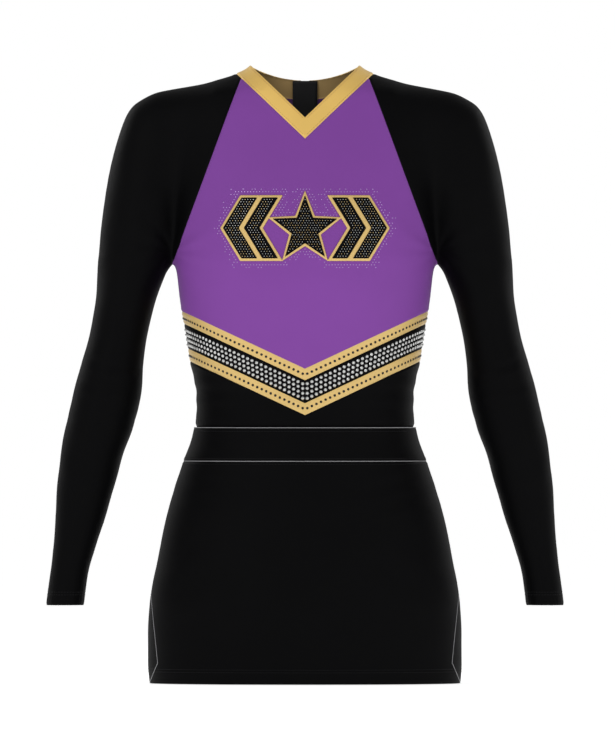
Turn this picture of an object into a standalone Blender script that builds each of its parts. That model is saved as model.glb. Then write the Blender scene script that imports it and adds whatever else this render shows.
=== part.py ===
"""Cheer uniform: a long-sleeved raglan top with a V neck and a chevron of crystal trim, over a
short fitted skirt.

Sizes are in millimetres and the scene is in metres, +Z up. The front of the garment faces -Y and
the wearer's left is towards +X. The origin is the centre of the skirt hem, on the floor plane.
The two body shells are lofted from horizontal sections, and every cloth panel is its shell cut
along its own seam lines.
"""

import math

import bmesh
import bpy
from mathutils import Matrix, Vector

MM = 0.001

# ---------------------------------------------------------------- driving dimensions
TOP_CLOTH = 2.0        # lined four-way stretch knit, both layers and seam allowance
SKIRT_CLOTH = 2.2
SEAM = 0.4             # gap left between two panels that are sewn edge to edge
HALF_SEAM = SEAM / 2
WAIST_TOP_Z = 281.6    # top edge of the skirt waistband
WAIST_LOW_Z = 244.2    # seam between waistband and skirt
CUFF_Z = 85.8          # bottom edge of the sleeves
ARMPIT_Z = 468.6
ZIP_CHANNEL = 4.6      # half width of the opening left for a zip chain
TAIL_LOW_Z = 254.0     # lower edge of the top, tucked inside the waistband
TOP_ZIP_LOW_Z = 289.0  # lower end of the opening for the zip of the top

# neck band: inner and outer edges; a tip is (x, z), where an edge crosses the shoulder
NECK_IN_APEX_Z, NECK_IN_TIP = 622.6, (59.4, 678.7)
NECK_OUT_APEX_Z, NECK_OUT_TIP = 598.9, (74.8, 669.9)
BACK_NECK_IN_Z, BACK_NECK_OUT_Z = 664.0, 642.0
FRONT_NECK_SEAM_X = 70.2  # where the raglan seam meets the neck band
BACK_NECK_SEAM_X = 69.8

CHEVRON_RISE = 0.4646  # rise of the chevron per millimetre outwards
CHEVRON_Z = (345.7, 333.1, 307.9, 295.0)  # centre heights of its four edges, top to bottom

# raglan seam: half width at one height, and how much it gains per millimetre downwards
RAGLAN_X0, RAGLAN_Z0, RAGLAN_SLOPE = 73.15, 657.8, 0.3692

SHOULDER = (172.0, 0.0, 608.0)   # centre of the left shoulder joint
SHOULDER_R, SHOULDER_GAP = 48.5, 1.5
ELBOW = (212.8, 0.0, 342.0)      # centre of the left elbow joint
ARM_TILT = math.radians(11.5)    # the sleeve hangs this far out from the vertical
ELBOW_BEND = math.radians(90.0)

# centre-back lines, straight so that a zip can run along them: (z low, y low, z high, y high)
TOP_BACK_LINE = (285.0, 82.0, 660.0, 72.0)
SKIRT_BACK_LINE = (130.0, 115.8, WAIST_TOP_Z, 84.0)

# z, half width, front depth, back depth, depth of the hollow along the spine, section exponent
TOP_STATIONS = (
    (284.6, 121.0, 86.0, 82.0, 0.0, 2.15),
    (300.0, 118.8, 84.0, 82.0, 0.4, 2.15),
    (317.0, 118.8, 84.5, 82.0, 0.9, 2.15),
    (333.0, 121.0, 87.0, 82.4, 1.7, 2.15),
    (350.0, 125.0, 90.5, 83.4, 3.1, 2.2),
    (383.0, 129.8, 99.0, 86.0, 6.6, 2.25),
    (416.0, 135.9, 110.0, 88.6, 10.1, 2.3),
    (449.0, 140.3, 117.5, 90.6, 13.0, 2.35),
    (468.6, 143.3, 118.0, 91.4, 14.3, 2.4),
    (500.0, 143.2, 113.5, 92.0, 15.7, 2.45),
    (530.0, 143.2, 103.5, 92.0, 16.5, 2.45),
    (560.0, 146.0, 91.0, 91.0, 16.3, 2.45),
    (590.0, 152.0, 77.5, 88.0, 14.1, 2.4),
    (610.0, 160.0, 68.0, 84.0, 10.7, 2.3),
    (625.0, 167.0, 61.0, 80.0, 7.1, 2.2),
    (636.0, 171.0, 56.0, 77.2, 4.5, 2.1),
    (646.8, 170.0, 51.0, 74.6, 2.2, 2.0),
    (652.3, 147.4, 48.5, 73.6, 1.4, 2.0),
    (657.8, 117.2, 46.0, 72.8, 0.7, 2.0),
    (663.3, 96.0, 43.5, 72.2, 0.3, 2.0),
    (669.9, 75.6, 41.0, 71.8, 0.0, 2.0),
    (678.7, 60.0, 38.0, 71.4, 0.0, 2.0),
    (692.0, 54.0, 36.0, 71.0, 0.0, 2.0),
)
# the same columns
SKIRT_STATIONS = (
    (0.0, 171.0, 99.0, 113.0, 0.0, 2.2),
    (22.0, 172.7, 101.0, 115.5, 0.0, 2.2),
    (53.0, 172.7, 103.0, 118.0, 0.0, 2.2),
    (86.0, 171.0, 104.0, 118.8, 0.0, 2.2),
    (110.0, 167.4, 103.6, 118.0, 0.0, 2.2),
    (130.0, 163.2, 102.8, 115.8, 0.0, 2.2),
    (152.0, 158.9, 101.0, 111.2, 0.0, 2.2),
    (185.0, 151.8, 97.5, 104.3, 0.0, 2.2),
    (218.0, 142.4, 93.0, 97.3, 0.0, 2.15),
    (WAIST_LOW_Z, 133.5, 89.8, 91.8, 0.0, 2.15),
    (267.0, 124.9, 87.2, 87.1, 0.0, 2.15),
    (WAIST_TOP_Z, 121.4, 86.0, 84.0, 0.0, 2.15),
)
# z, distance of the centre from the midline, half width, half depth of the left sleeve
SLEEVE_STATIONS = (
    (643.6, 166.0, 6.0, 8.0),
    (640.0, 166.0, 15.5, 20.0),
    (634.0, 166.0, 24.0, 29.0),
    (625.0, 166.0, 30.2, 36.0),
    (608.0, 167.0, 35.2, 41.0),
    (590.0, 168.5, 39.5, 44.0),
    (560.0, 171.2, 44.2, 46.0),
    (530.0, 174.6, 45.4, 46.0),
    (500.0, 179.2, 44.8, 45.2),
    (468.6, 185.1, 41.5, 43.6),
    (449.0, 191.1, 36.6, 42.0),
    (416.0, 198.3, 32.2, 39.0),
    (383.0, 204.9, 31.1, 37.2),
    (350.0, 211.8, 33.5, 37.4),
    (317.0, 217.5, 37.1, 38.2),
    (284.0, 225.5, 37.4, 37.0),
    (251.0, 234.3, 34.6, 34.0),
    (218.0, 240.9, 31.9, 31.0),
    (185.0, 246.4, 28.0, 28.0),
    (152.0, 253.0, 23.6, 25.4),
    (119.0, 259.6, 20.9, 24.0),
    (CUFF_Z, 264.0, 20.9, 24.2),
)
TORSO_SIDES = 32
SLEEVE_SIDES = 16
SPINE_WIDTH = 42.0     # spread of the hollow along the spine

SIDES = ((1, "left"), (-1, "right"))  # sign of x on each side of the wearer

# base colour, roughness, metallic
FINISHES = {
    "purple_knit": ((0.205, 0.061, 0.319), 0.62, 0.0),
    "black_knit": ((0.006, 0.006, 0.007), 0.6, 0.0),
    "gold_trim": ((0.72, 0.45, 0.15), 0.35, 0.55),
    "crystal": ((0.60, 0.60, 0.58), 0.12, 0.2),
    "black_sparkle": ((0.01, 0.01, 0.012), 0.25, 0.1),
    "elastic": ((0.05, 0.05, 0.055), 0.8, 0.0),
    "piping": ((0.33, 0.33, 0.34), 0.55, 0.0),
    "zip_tape": ((0.012, 0.012, 0.013), 0.7, 0.0),
    "zip_coil": ((0.03, 0.03, 0.032), 0.4, 0.0),
    "zip_metal": ((0.05, 0.05, 0.055), 0.3, 0.9),
    "hook_metal": ((0.45, 0.45, 0.46), 0.3, 1.0),
}

# ---------------------------------------------------------------- scene
for item in list(bpy.data.objects):
    bpy.data.objects.remove(item)
garment = bpy.data.collections.new("cheer_uniform")
cutters = bpy.data.collections.new("cutters")
for group in (garment, cutters):
    bpy.context.scene.collection.children.link(group)
cutters.hide_render = True


def make_material(name, colour, roughness, metallic):
    material = bpy.data.materials.new(name)
    material.use_nodes = True
    inputs = material.node_tree.nodes["Principled BSDF"].inputs
    inputs["Base Color"].default_value = (*colour, 1.0)
    inputs["Roughness"].default_value = roughness
    inputs["Metallic"].default_value = metallic
    return material


materials = {name: make_material(name, *finish) for name, finish in FINISHES.items()}


def attach(obj, parent):
    """Parent an object without moving it."""
    world = obj.matrix_world.copy()
    obj.parent = parent
    obj.matrix_parent_inverse = parent.matrix_world.inverted()
    obj.matrix_world = world


def place(mesh, name, material_name, parent, matrix=None):
    """A part of the garment: its object, in the garment's collection, with its material."""
    obj = bpy.data.objects.new(name, mesh)
    garment.objects.link(obj)
    if not mesh.materials:
        mesh.materials.append(materials[material_name])
    obj.material_slots[0].link = "OBJECT"
    obj.material_slots[0].material = materials[material_name]
    if matrix is not None:
        obj.matrix_world = matrix
    attach(obj, parent)
    return obj


def axis_empty(name, position, parent=None):
    empty = bpy.data.objects.new(name, None)
    empty.empty_display_size = 0.03
    garment.objects.link(empty)
    empty.matrix_world = Matrix.Translation(Vector(position) * MM)
    if parent is not None:
        attach(empty, parent)
    bpy.context.view_layer.update()
    return empty


def helper(mesh, name):
    """A cutter: linked so that Booleans can read it, and left out of the render."""
    obj = bpy.data.objects.new(name, mesh)
    cutters.objects.link(obj)
    obj.hide_render = True
    obj.display_type = "WIRE"
    return obj


def cut(obj, other, operation):
    step = obj.modifiers.new(operation.lower(), "BOOLEAN")
    step.operation = operation
    step.solver = "EXACT"
    step.object = other


def joined(base, others, operation, name, keep=False):
    """One mesh from a helper and others, by Booleans; the helpers go unless they are kept."""
    for other in others:
        cut(base, other, operation)
    bpy.context.view_layer.update()
    graph = bpy.context.evaluated_depsgraph_get()
    mesh = bpy.data.meshes.new_from_object(base.evaluated_get(graph))
    mesh.name = name
    if not keep:
        for solid in [base, *others]:
            bpy.data.objects.remove(solid)
    return mesh


# ---------------------------------------------------------------- sections and lofts
def tangent(slope_before, slope_after):
    """Harmonic mean of two slopes, or level where the curve turns."""
    if slope_before * slope_after <= 0:
        return 0.0
    return 2 * slope_before * slope_after / (slope_before + slope_after)


def station_at(stations, z):
    """The section at height z, from a smooth curve through the stations."""
    rows = sorted(stations)
    if z <= rows[0][0]:
        return rows[0][1:]
    if z >= rows[-1][0]:
        return rows[-1][1:]
    i = next(i for i in range(len(rows) - 1) if rows[i][0] <= z <= rows[i + 1][0])
    before, low, high, after = rows[max(i - 1, 0)], rows[i], rows[i + 1], rows[min(i + 2, len(rows) - 1)]
    step = high[0] - low[0]
    t = (z - low[0]) / step
    found = []
    for k in range(1, len(low)):
        slope = slope_before = slope_after = (high[k] - low[k]) / step
        if low[0] > before[0]:
            slope_before = (low[k] - before[k]) / (low[0] - before[0])
        if after[0] > high[0]:
            slope_after = (after[k] - high[k]) / (after[0] - high[0])
        found.append(
            (2 * t**3 - 3 * t**2 + 1) * low[k]
            + (t**3 - 2 * t**2 + t) * step * tangent(slope_before, slope)
            + (3 * t**2 - 2 * t**3) * high[k]
            + (t**3 - t**2) * step * tangent(slope, slope_after)
        )
    return tuple(found)


def torso_ring(row, z, inset):
    """Points of one horizontal torso section, drawn in by inset."""
    half_width, front, back, hollow, exponent = row
    points = []
    for i in range(TORSO_SIDES):
        angle = 2 * math.pi * i / TORSO_SIDES
        cosine, sine = math.cos(angle), math.sin(angle)
        x = (half_width - inset) * math.copysign(abs(cosine) ** (2 / exponent), cosine)
        depth = (back if sine > 0 else front) - inset
        y = depth * math.copysign(abs(sine) ** (2 / exponent), sine)
        if sine > 0:
            y -= hollow * math.exp(-((x / SPINE_WIDTH) ** 2)) * (sine ** 0.5)
        points.append((x, y, z))
    return points


def top_ring(z, inset):
    return torso_ring(station_at(TOP_STATIONS, z), z, inset)


def skirt_ring(z, inset):
    return torso_ring(station_at(SKIRT_STATIONS, z), z, inset)


def sleeve_ring(station_z, z, inset, sign):
    """The sleeve section of station_z, laid at height z and drawn in by inset."""
    centre, half_width, half_depth = station_at(SLEEVE_STATIONS, station_z)
    angles = [2 * math.pi * i / SLEEVE_SIDES for i in range(SLEEVE_SIDES)]
    return [
        (
            sign * (centre + max(half_width - inset, 1.0) * math.cos(angle)),
            max(half_depth - inset, 1.0) * math.sin(angle),
            z,
        )
        for angle in angles
    ]


def loft(rings, name):
    """A helper solid skinned over unlike rings of equal count, each end capped."""
    bm = bmesh.new()
    loops = [[bm.verts.new(Vector(p) * MM) for p in ring] for ring in rings]
    count = len(rings[0])
    for low, high in zip(loops, loops[1:]):
        for i in range(count):
            j = (i + 1) % count
            bm.faces.new((low[i], low[j], high[j], high[i]))
    bm.faces.new(reversed(loops[0]))
    bm.faces.new(loops[-1])
    bmesh.ops.recalc_face_normals(bm, faces=bm.faces)
    mesh = bpy.data.meshes.new(name)
    bm.to_mesh(mesh)
    bm.free()
    return helper(mesh, name)


def prism(outline, low, high, name, frame=None):
    """A flat outline in the frame's first two axes, extruded from low to high along its third."""
    curve = bpy.data.curves.new(name, "CURVE")
    curve.dimensions = "2D"
    curve.fill_mode = "BOTH"
    curve.extrude = (high - low) / 2 * MM
    spline = curve.splines.new("POLY")
    spline.points.add(len(outline) - 1)
    for point, (across, along) in zip(spline.points, outline):
        point.co = (across * MM, along * MM, 0.0, 1.0)
    spline.use_cyclic_u = True
    shape = bpy.data.objects.new(name + "_curve", curve)
    cutters.objects.link(shape)
    bpy.context.view_layer.update()
    graph = bpy.context.evaluated_depsgraph_get()
    mesh = bpy.data.meshes.new_from_object(shape.evaluated_get(graph))
    bpy.data.objects.remove(shape)
    mesh.transform(Matrix.Translation((0, 0, (low + high) / 2 * MM)))
    if frame is not None:
        mesh.transform(frame)
    bm = bmesh.new()
    bm.from_mesh(mesh)
    bmesh.ops.remove_doubles(bm, verts=bm.verts, dist=1e-6)
    bmesh.ops.recalc_face_normals(bm, faces=bm.faces)
    bm.to_mesh(mesh)
    bm.free()
    mesh.name = name
    return helper(mesh, name)


# outlines seen from the front: first axis X, second axis Z, third axis -Y
FRONTAL = Matrix(((1, 0, 0, 0), (0, 0, -1, 0), (0, 1, 0, 0), (0, 0, 0, 1)))
FAR = 300.0            # beyond the garment in Y, either way
FRONT = (-FAR, -HALF_SEAM)
BACK = (HALF_SEAM, FAR)
THROUGH = (-FAR, FAR)


def frontal(outline, span, name):
    """A cutter from an outline of (x, z) points, over a span of y."""
    return prism(outline, -span[1], -span[0], name, FRONTAL)


def mirrored(outline):
    return [(-x, z) for x, z in reversed(outline)]


def sided(outline, sign):
    return outline if sign > 0 else mirrored(outline)


def symmetric(half):
    """A whole outline from its +X half, whose two end points lie on the midline."""
    return half + mirrored(half[1:-1])


def frame_of(axes, origin):
    """A frame from its three axes and its origin in millimetres."""
    frame = Matrix(axes).transposed().to_4x4()
    frame.translation = Vector(origin) * MM
    return frame


def box_mesh(size, centre, name):
    bm = bmesh.new()
    bmesh.ops.create_cube(bm, size=1.0)
    bmesh.ops.scale(bm, vec=Vector(size) * MM, verts=bm.verts)
    bmesh.ops.translate(bm, vec=Vector(centre) * MM, verts=bm.verts)
    mesh = bpy.data.meshes.new(name)
    bm.to_mesh(mesh)
    bm.free()
    return mesh


def box(size, centre, name):
    return helper(box_mesh(size, centre, name), name)


# ---------------------------------------------------------------- the two shells
OVERRUN = 6.0          # the inner solids pass the open ends by this much
TORSO_Z = (
    300.0, 317.0, 337.0, 360.0, 388.0, 418.0, 446.0, 470.0, 498.0, 526.0, 556.0,
    586.0, 608.0, 625.0, 638.0, 646.8, 652.3, 657.8, 663.3, 669.9, 678.7, 692.0,
)
SLEEVE_Z = (
    643.6, 640.0, 634.0, 625.0, 608.0, 587.0, 556.0, 522.0, 490.0, 468.6, 449.0,
    418.0, 384.0, 352.0, 318.0, 284.0, 248.0, 212.0, 176.0, 142.0, 112.0, 86.8,
)
SKIRT_Z = (
    0.0, 24.0, 56.0, 88.0, 112.0, 130.0, 160.0, 190.0, 218.0, WAIST_LOW_Z, 265.0, WAIST_TOP_Z,
)
TAIL_SECTION = (115.4, 79.0, 76.0, 0.0, 2.15)  # the station columns, without z
TAIL_TOP_Z, BODY_LOW_Z = 283.0, 285.0  # the step between the tail and the body
INNER_STEP_RISE = 1.8                  # the inner step is raised to keep the cloth's thickness
TORSO_TOP_Z, INNER_TOP_RISE = 700.0, 5.0
CROWN_LOW_Z, CROWN_HEIGHT = 600.0, 43.6  # top of the sleeve, lowered by the inset at its peak


def torso_solid(inset, name):
    """The torso with its tucked tail below; inset draws the whole surface in."""
    inner = inset > 0
    rise = INNER_STEP_RISE if inner else 0.0
    tail_low = TAIL_LOW_Z - (OVERRUN if inner else 0.0)
    torso_top = TORSO_TOP_Z + (INNER_TOP_RISE if inner else 0.0)
    rings = [
        torso_ring(TAIL_SECTION, tail_low, inset),
        torso_ring(TAIL_SECTION, TAIL_TOP_Z + rise, inset),
        torso_ring(station_at(TOP_STATIONS, BODY_LOW_Z), BODY_LOW_Z + rise, inset),
    ]
    rings += [top_ring(z, inset) for z in TORSO_Z]
    rings.append(torso_ring(station_at(TOP_STATIONS, TORSO_Z[-1]), torso_top, inset))
    return loft(rings, name)


def sleeve_solid(inset, sign, name):
    rings = []
    for z in SLEEVE_Z:
        drop = inset * (z - CROWN_LOW_Z) / CROWN_HEIGHT if z > CROWN_LOW_Z else 0.0
        rings.append(sleeve_ring(z, z - drop, inset, sign))
    low = CUFF_Z - (OVERRUN if inset > 0 else 0.0)
    rings.append(sleeve_ring(CUFF_Z, low, inset, sign))
    return loft(rings, name)


def top_solid(inset, name):
    torso = torso_solid(inset, name + "_torso")
    arms = [sleeve_solid(inset, sign, f"{name}_arm_{side}") for sign, side in SIDES]
    return helper(joined(torso, arms, "UNION", name), name)


def skirt_solid(inset, name):
    rings = [skirt_ring(z, inset) for z in SKIRT_Z]
    if inset > 0:
        hem, waist = (station_at(SKIRT_STATIONS, z) for z in (0.0, WAIST_TOP_Z))
        rings.insert(0, torso_ring(hem, -OVERRUN, inset))
        rings.append(torso_ring(waist, WAIST_TOP_Z + OVERRUN, inset))
    return loft(rings, name)


def shell(make_solid, cloth, name):
    outer = make_solid(0.0, f"{name}_outer")
    inner = make_solid(cloth, f"{name}_inner")
    return joined(outer, [inner], "DIFFERENCE", f"{name}_shell")


TOP_SHELL = shell(top_solid, TOP_CLOTH, "top")
SKIRT_SHELL = shell(skirt_solid, SKIRT_CLOTH, "skirt")

# ---------------------------------------------------------------- joint axes
skirt_root = axis_empty("skirt_origin", (0, 0, 0))
top_lift = axis_empty("top_lift_axis", (0, 0, WAIST_TOP_Z), skirt_root)
shoulders = {
    sign: axis_empty(f"shoulder_axis_{side}", (sign * SHOULDER[0], 0, SHOULDER[2]), top_lift)
    for sign, side in SIDES
}
elbows = {
    sign: axis_empty(f"elbow_axis_{side}", (sign * ELBOW[0], 0, ELBOW[2]), shoulders[sign])
    for sign, side in SIDES
}

# ---------------------------------------------------------------- panels of a shell
TOP = (TOP_SHELL, top_lift)
SKIRT = (SKIRT_SHELL, skirt_root)


def panel(body, outline, span, name, material_name):
    """The part of a body's shell within an outline of (x, z) points and a span of y."""
    shell_mesh, parent = body
    obj = place(shell_mesh.copy(), name, material_name, parent)
    cut(obj, frontal(outline, span, name + "_cut"), "INTERSECT")


def panel_pair(body, outline, span, label, material_name):
    """A left panel and its mirror image on the right."""
    for sign, side in SIDES:
        panel(body, sided(outline, sign), span, f"{label}_{side}", material_name)


# ---------------------------------------------------------------- seam lines of the top
def raglan_x(z):
    return RAGLAN_X0 + RAGLAN_SLOPE * (RAGLAN_Z0 - z)


def neck_out(x):
    return NECK_OUT_APEX_Z + (NECK_OUT_TIP[1] - NECK_OUT_APEX_Z) * abs(x) / NECK_OUT_TIP[0]


def neck_in(x):
    return NECK_IN_APEX_Z + (NECK_IN_TIP[1] - NECK_IN_APEX_Z) * abs(x) / NECK_IN_TIP[0]


def back_neck_out(x):
    return BACK_NECK_OUT_Z + (NECK_OUT_TIP[1] - BACK_NECK_OUT_Z) * (x / NECK_OUT_TIP[0]) ** 2


def back_neck_in(x):
    return BACK_NECK_IN_Z + (NECK_IN_TIP[1] - BACK_NECK_IN_Z) * (x / NECK_IN_TIP[0]) ** 2


def chevron(edge, x, shift=0.0):
    return CHEVRON_Z[edge] + CHEVRON_RISE * abs(x) + shift


WIDE = 150.0           # beyond the side of the torso
BELOW_TAIL = 240.0
BACK_NECK_X = (ZIP_CHANNEL, 15.0, 26.0, 37.0, 48.0, 59.0, BACK_NECK_SEAM_X, 84.0)

# ---------------------------------------------------------------- purple panels
# the side seam, from the chevron up to the foot of the raglan seam
side_edge = [
    (WIDE, chevron(0, WIDE, HALF_SEAM)),
    (WIDE, 432.0),
    (147.0, 454.0),
    (raglan_x(ARMPIT_Z) - HALF_SEAM, ARMPIT_Z),
]
front_seam_z = neck_out(FRONT_NECK_SEAM_X)
front_half = [
    (0.0, chevron(0, 0.0, HALF_SEAM)),
    *side_edge,
    (raglan_x(front_seam_z) - HALF_SEAM, front_seam_z - SEAM),
    (0.0, NECK_OUT_APEX_Z - SEAM),
]
panel(TOP, symmetric(front_half), FRONT, "front_panel", "purple_knit")

back_seam_x = BACK_NECK_SEAM_X - HALF_SEAM
back_outline = [
    (ZIP_CHANNEL, chevron(0, ZIP_CHANNEL, HALF_SEAM)),
    *side_edge,
    (back_seam_x, back_neck_out(back_seam_x) - 1.2 * SEAM),
    *[(x, back_neck_out(x) - SEAM) for x in reversed(BACK_NECK_X[:-2])],
]
panel_pair(TOP, back_outline, BACK, "back_panel", "purple_knit")

# ---------------------------------------------------------------- neck band
# the front is one mitred V, the back is two curved strips that meet at the zip
band_out_x = NECK_OUT_TIP[0] + 8.0
band_in_x = NECK_IN_TIP[0] + 12.0
band_half = [
    (0.0, NECK_OUT_APEX_Z),
    (band_out_x, neck_out(band_out_x)),
    (band_out_x, 690.0),
    (band_in_x, neck_in(band_in_x)),
    (0.0, NECK_IN_APEX_Z),
]
panel(TOP, symmetric(band_half), FRONT, "neck_band_front", "gold_trim")

BAND_TAPER = 0.8       # x of a point on the inner edge, as a share of the outer one's
band_outline = [(x, back_neck_out(x)) for x in BACK_NECK_X]
band_outline += [
    (BAND_TAPER * x, back_neck_in(BAND_TAPER * x)) for x in reversed(BACK_NECK_X[1:])
]
band_outline.append((ZIP_CHANNEL, back_neck_in(ZIP_CHANNEL)))
panel_pair(TOP, band_outline, BACK, "neck_band_back", "gold_trim")

# ---------------------------------------------------------------- chevron and waist panel
# label, upper edge, lower edge, material
STRIPS = (
    ("chevron_upper", 0, 1, "gold_trim"),
    ("crystal_band", 1, 2, "crystal"),
    ("chevron_lower", 2, 3, "gold_trim"),
)


def strip_half(start_x, upper, lower):
    return [
        (start_x, chevron(lower, start_x, HALF_SEAM)),
        (WIDE, chevron(lower, WIDE, HALF_SEAM)),
        (WIDE, chevron(upper, WIDE, -HALF_SEAM)),
        (start_x, chevron(upper, start_x, -HALF_SEAM)),
    ]


for label, upper, lower, material_name in STRIPS:
    outline = symmetric(strip_half(0.0, upper, lower))
    panel(TOP, outline, FRONT, f"{label}_front", material_name)
    outline = strip_half(ZIP_CHANNEL, upper, lower)
    panel_pair(TOP, outline, BACK, f"{label}_back", material_name)

waist_half = [
    (0.0, BELOW_TAIL),
    (WIDE, BELOW_TAIL),
    (WIDE, chevron(3, WIDE, -HALF_SEAM)),
    (0.0, chevron(3, 0.0, -HALF_SEAM)),
]
panel(TOP, symmetric(waist_half), FRONT, "waist_panel_front", "black_knit")

# the two back halves meet below the zip and part round it
waist_outline = [
    (HALF_SEAM, BELOW_TAIL),
    (WIDE, BELOW_TAIL),
    (WIDE, chevron(3, WIDE, -HALF_SEAM)),
    (ZIP_CHANNEL, chevron(3, ZIP_CHANNEL, -HALF_SEAM)),
    (ZIP_CHANNEL, TOP_ZIP_LOW_Z),
    (HALF_SEAM, TOP_ZIP_LOW_Z),
]
panel_pair(TOP, waist_outline, BACK, "waist_panel_back", "black_knit")

# ---------------------------------------------------------------- raglan sleeves
ARC_START, ARC_END, ARC_STEPS = -90.0, -20.0, 7  # degrees round the shoulder axis


def shoulder_arc(radius):
    angles = [
        math.radians(ARC_START + (ARC_END - ARC_START) * k / ARC_STEPS)
        for k in range(ARC_STEPS + 1)
    ]
    return [
        (SHOULDER[0] + radius * math.cos(angle), SHOULDER[2] + radius * math.sin(angle))
        for angle in angles
    ]


def raglan_point(z):
    """A point on the sleeve's side of the raglan seam."""
    return (raglan_x(z) + HALF_SEAM, z)


cap_level = SHOULDER[2] - SHOULDER_R
CAP_TOP_Z, CAP_FAR_X = 720.0, 270.0
cap_outline = [
    raglan_point(CAP_TOP_Z),
    raglan_point(cap_level),
    *shoulder_arc(SHOULDER_R),
    (CAP_FAR_X, 600.0),
    (CAP_FAR_X, CAP_TOP_Z),
]
# x, z: round the outside of the arm, past the cuff and up between arm and torso
ARM_EDGE = (
    (340.0, 588.0), (340.0, 40.0), (215.0, 40.0), (176.0, 250.0),
    (157.0, 320.0), (151.0, 400.0), (147.6, 449.0),
)
tube_outline = [
    raglan_point(ARMPIT_Z),
    raglan_point(cap_level - SHOULDER_GAP),
    *shoulder_arc(SHOULDER_R + SHOULDER_GAP),
    *ARM_EDGE,
]

# half width and top of each part of the neck cutter, and the y where each ends past the midline
FRONT_CUT_X, FRONT_CUT_TOP_Z, FRONT_CUT_Y = 118.0, 752.0, 1.1
BACK_CUT_X, BACK_CUT_TOP_Z, BACK_CUT_Y = 104.0, 760.0, -1.3


def neck_cutter():
    """Everything above the outer edge of the neck band."""
    half = [
        (0.0, NECK_OUT_APEX_Z - HALF_SEAM),
        (FRONT_CUT_X, neck_out(FRONT_CUT_X)),
        (FRONT_CUT_X, FRONT_CUT_TOP_Z),
    ]
    outline = half + mirrored(half[1:])
    front = frontal(outline, (-FAR, FRONT_CUT_Y), "neck_front_cut")
    right_x = [-x for x in reversed(BACK_NECK_X)]
    edge_x = [-BACK_CUT_X, *right_x, *BACK_NECK_X, BACK_CUT_X]
    outline = [(x, back_neck_out(x) - SEAM) for x in edge_x]
    outline += [(BACK_CUT_X, BACK_CUT_TOP_Z), (-BACK_CUT_X, BACK_CUT_TOP_Z)]
    back = frontal(outline, (BACK_CUT_Y, FAR), "neck_back_cut")
    return helper(joined(front, [back], "UNION", "neck_cut"), "neck_cut")


neck_cut = neck_cutter()


def raglan_cap(sign, side):
    cap = place(TOP_SHELL.copy(), f"raglan_cap_{side}", "black_knit", top_lift)
    cut(cap, frontal(sided(cap_outline, sign), THROUGH, f"cap_cut_{side}"), "INTERSECT")
    cut(cap, neck_cut, "DIFFERENCE")


def arm_frame(sign):
    """Forward, down the arm and across it, as the frame of an outline drawn from the side."""
    down = Vector((sign * math.sin(ARM_TILT), 0.0, -math.cos(ARM_TILT)))
    forward = Vector((0.0, -1.0, 0.0))
    return frame_of((forward, down, forward.cross(down)), (sign * ELBOW[0], 0.0, ELBOW[2]))


# side view of the elbow: distance forward and distance down the arm from its axis;
# both tubes are cut back at the front so that the arm can bend forward
ELBOW_GAP = 0.75
ARM_DEPTH, ARM_REACH, ARM_SPREAD = 90.0, 420.0, 160.0  # beyond the sleeve each way
notch = ARM_DEPTH * math.tan(ELBOW_BEND / 2 + math.radians(1.0))
UPPER_WEDGE = [
    (-ARM_DEPTH, -ELBOW_GAP),
    (-ARM_DEPTH, -ARM_REACH),
    (ARM_DEPTH, -ARM_REACH),
    (ARM_DEPTH, -ELBOW_GAP - notch),
    (0.0, -ELBOW_GAP),
]
LOWER_WEDGE = [
    (-ARM_DEPTH, ELBOW_GAP),
    (0.0, ELBOW_GAP),
    (ARM_DEPTH, ELBOW_GAP + notch),
    (ARM_DEPTH, ARM_REACH),
    (-ARM_DEPTH, ARM_REACH),
]


def sleeve_tubes(sign, side):
    tube_cut = frontal(sided(tube_outline, sign), THROUGH, f"tube_cut_{side}")
    for label, outline, parent in (
        ("upper", UPPER_WEDGE, shoulders[sign]),
        ("lower", LOWER_WEDGE, elbows[sign]),
    ):
        tube = place(TOP_SHELL.copy(), f"sleeve_{label}_{side}", "black_knit", parent)
        cut(tube, tube_cut, "INTERSECT")
        name = f"elbow_{label}_cut_{side}"
        wedge = prism(outline, -ARM_SPREAD, ARM_SPREAD, name, arm_frame(sign))
        cut(tube, wedge, "INTERSECT")


ELASTIC_OUTER, ELASTIC_INNER = 0.4, 1.4  # faces of an elastic, measured in from the cloth
CUFF_ELASTIC_Z = (90.0, 102.0)


def cuff_elastic(sign, side):
    """Elastic round the inside of the wrist hem; its two helpers stay among the cutters."""
    outside = loft(
        [sleeve_ring(z, z, TOP_CLOTH + ELASTIC_OUTER, sign) for z in CUFF_ELASTIC_Z],
        f"cuff_out_{side}",
    )
    inside = loft(
        [
            sleeve_ring(z, z, TOP_CLOTH + ELASTIC_INNER, sign)
            for z in (84.0, *CUFF_ELASTIC_Z, 108.0)
        ],
        f"cuff_in_{side}",
    )
    name = f"cuff_elastic_{side}"
    mesh = joined(outside, [inside], "DIFFERENCE", name, keep=True)
    place(mesh, name, "elastic", elbows[sign])


for sign, side in SIDES:
    raglan_cap(sign, side)
    sleeve_tubes(sign, side)
    cuff_elastic(sign, side)

# ---------------------------------------------------------------- emblem on the chest
EMBLEM_Z = 499.4
STAR_Z = EMBLEM_Z - 1.5
STAR_R, STAR_IN = 37.0, 15.2               # to the points and to the notches
STAR_GROW, STAR_IN_GROW = 5.6, 3.0         # how much larger the backing is
ARROW_TIPS = (("outer", 89.0), ("inner", 66.4))
ARROW_BAR = 17.0                           # stroke width along X
ARROW_SWEEP, ARROW_HALF_HEIGHT = 20.0, 33.0
ARROW_GROW = 2.9
EMBLEM_SPAN = (-FAR, -20.0)
CHEST_Z = (448.0, 458.0, 470.0, 484.0, 498.0, 512.0, 526.0, 540.0, 552.0)
LAYER_OVERRUN = 9.0
BACKING_LIFTS = (0.9, 1.6)                 # near and far faces, measured off the cloth
FACE_LIFTS = (2.0, 2.7)


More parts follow.
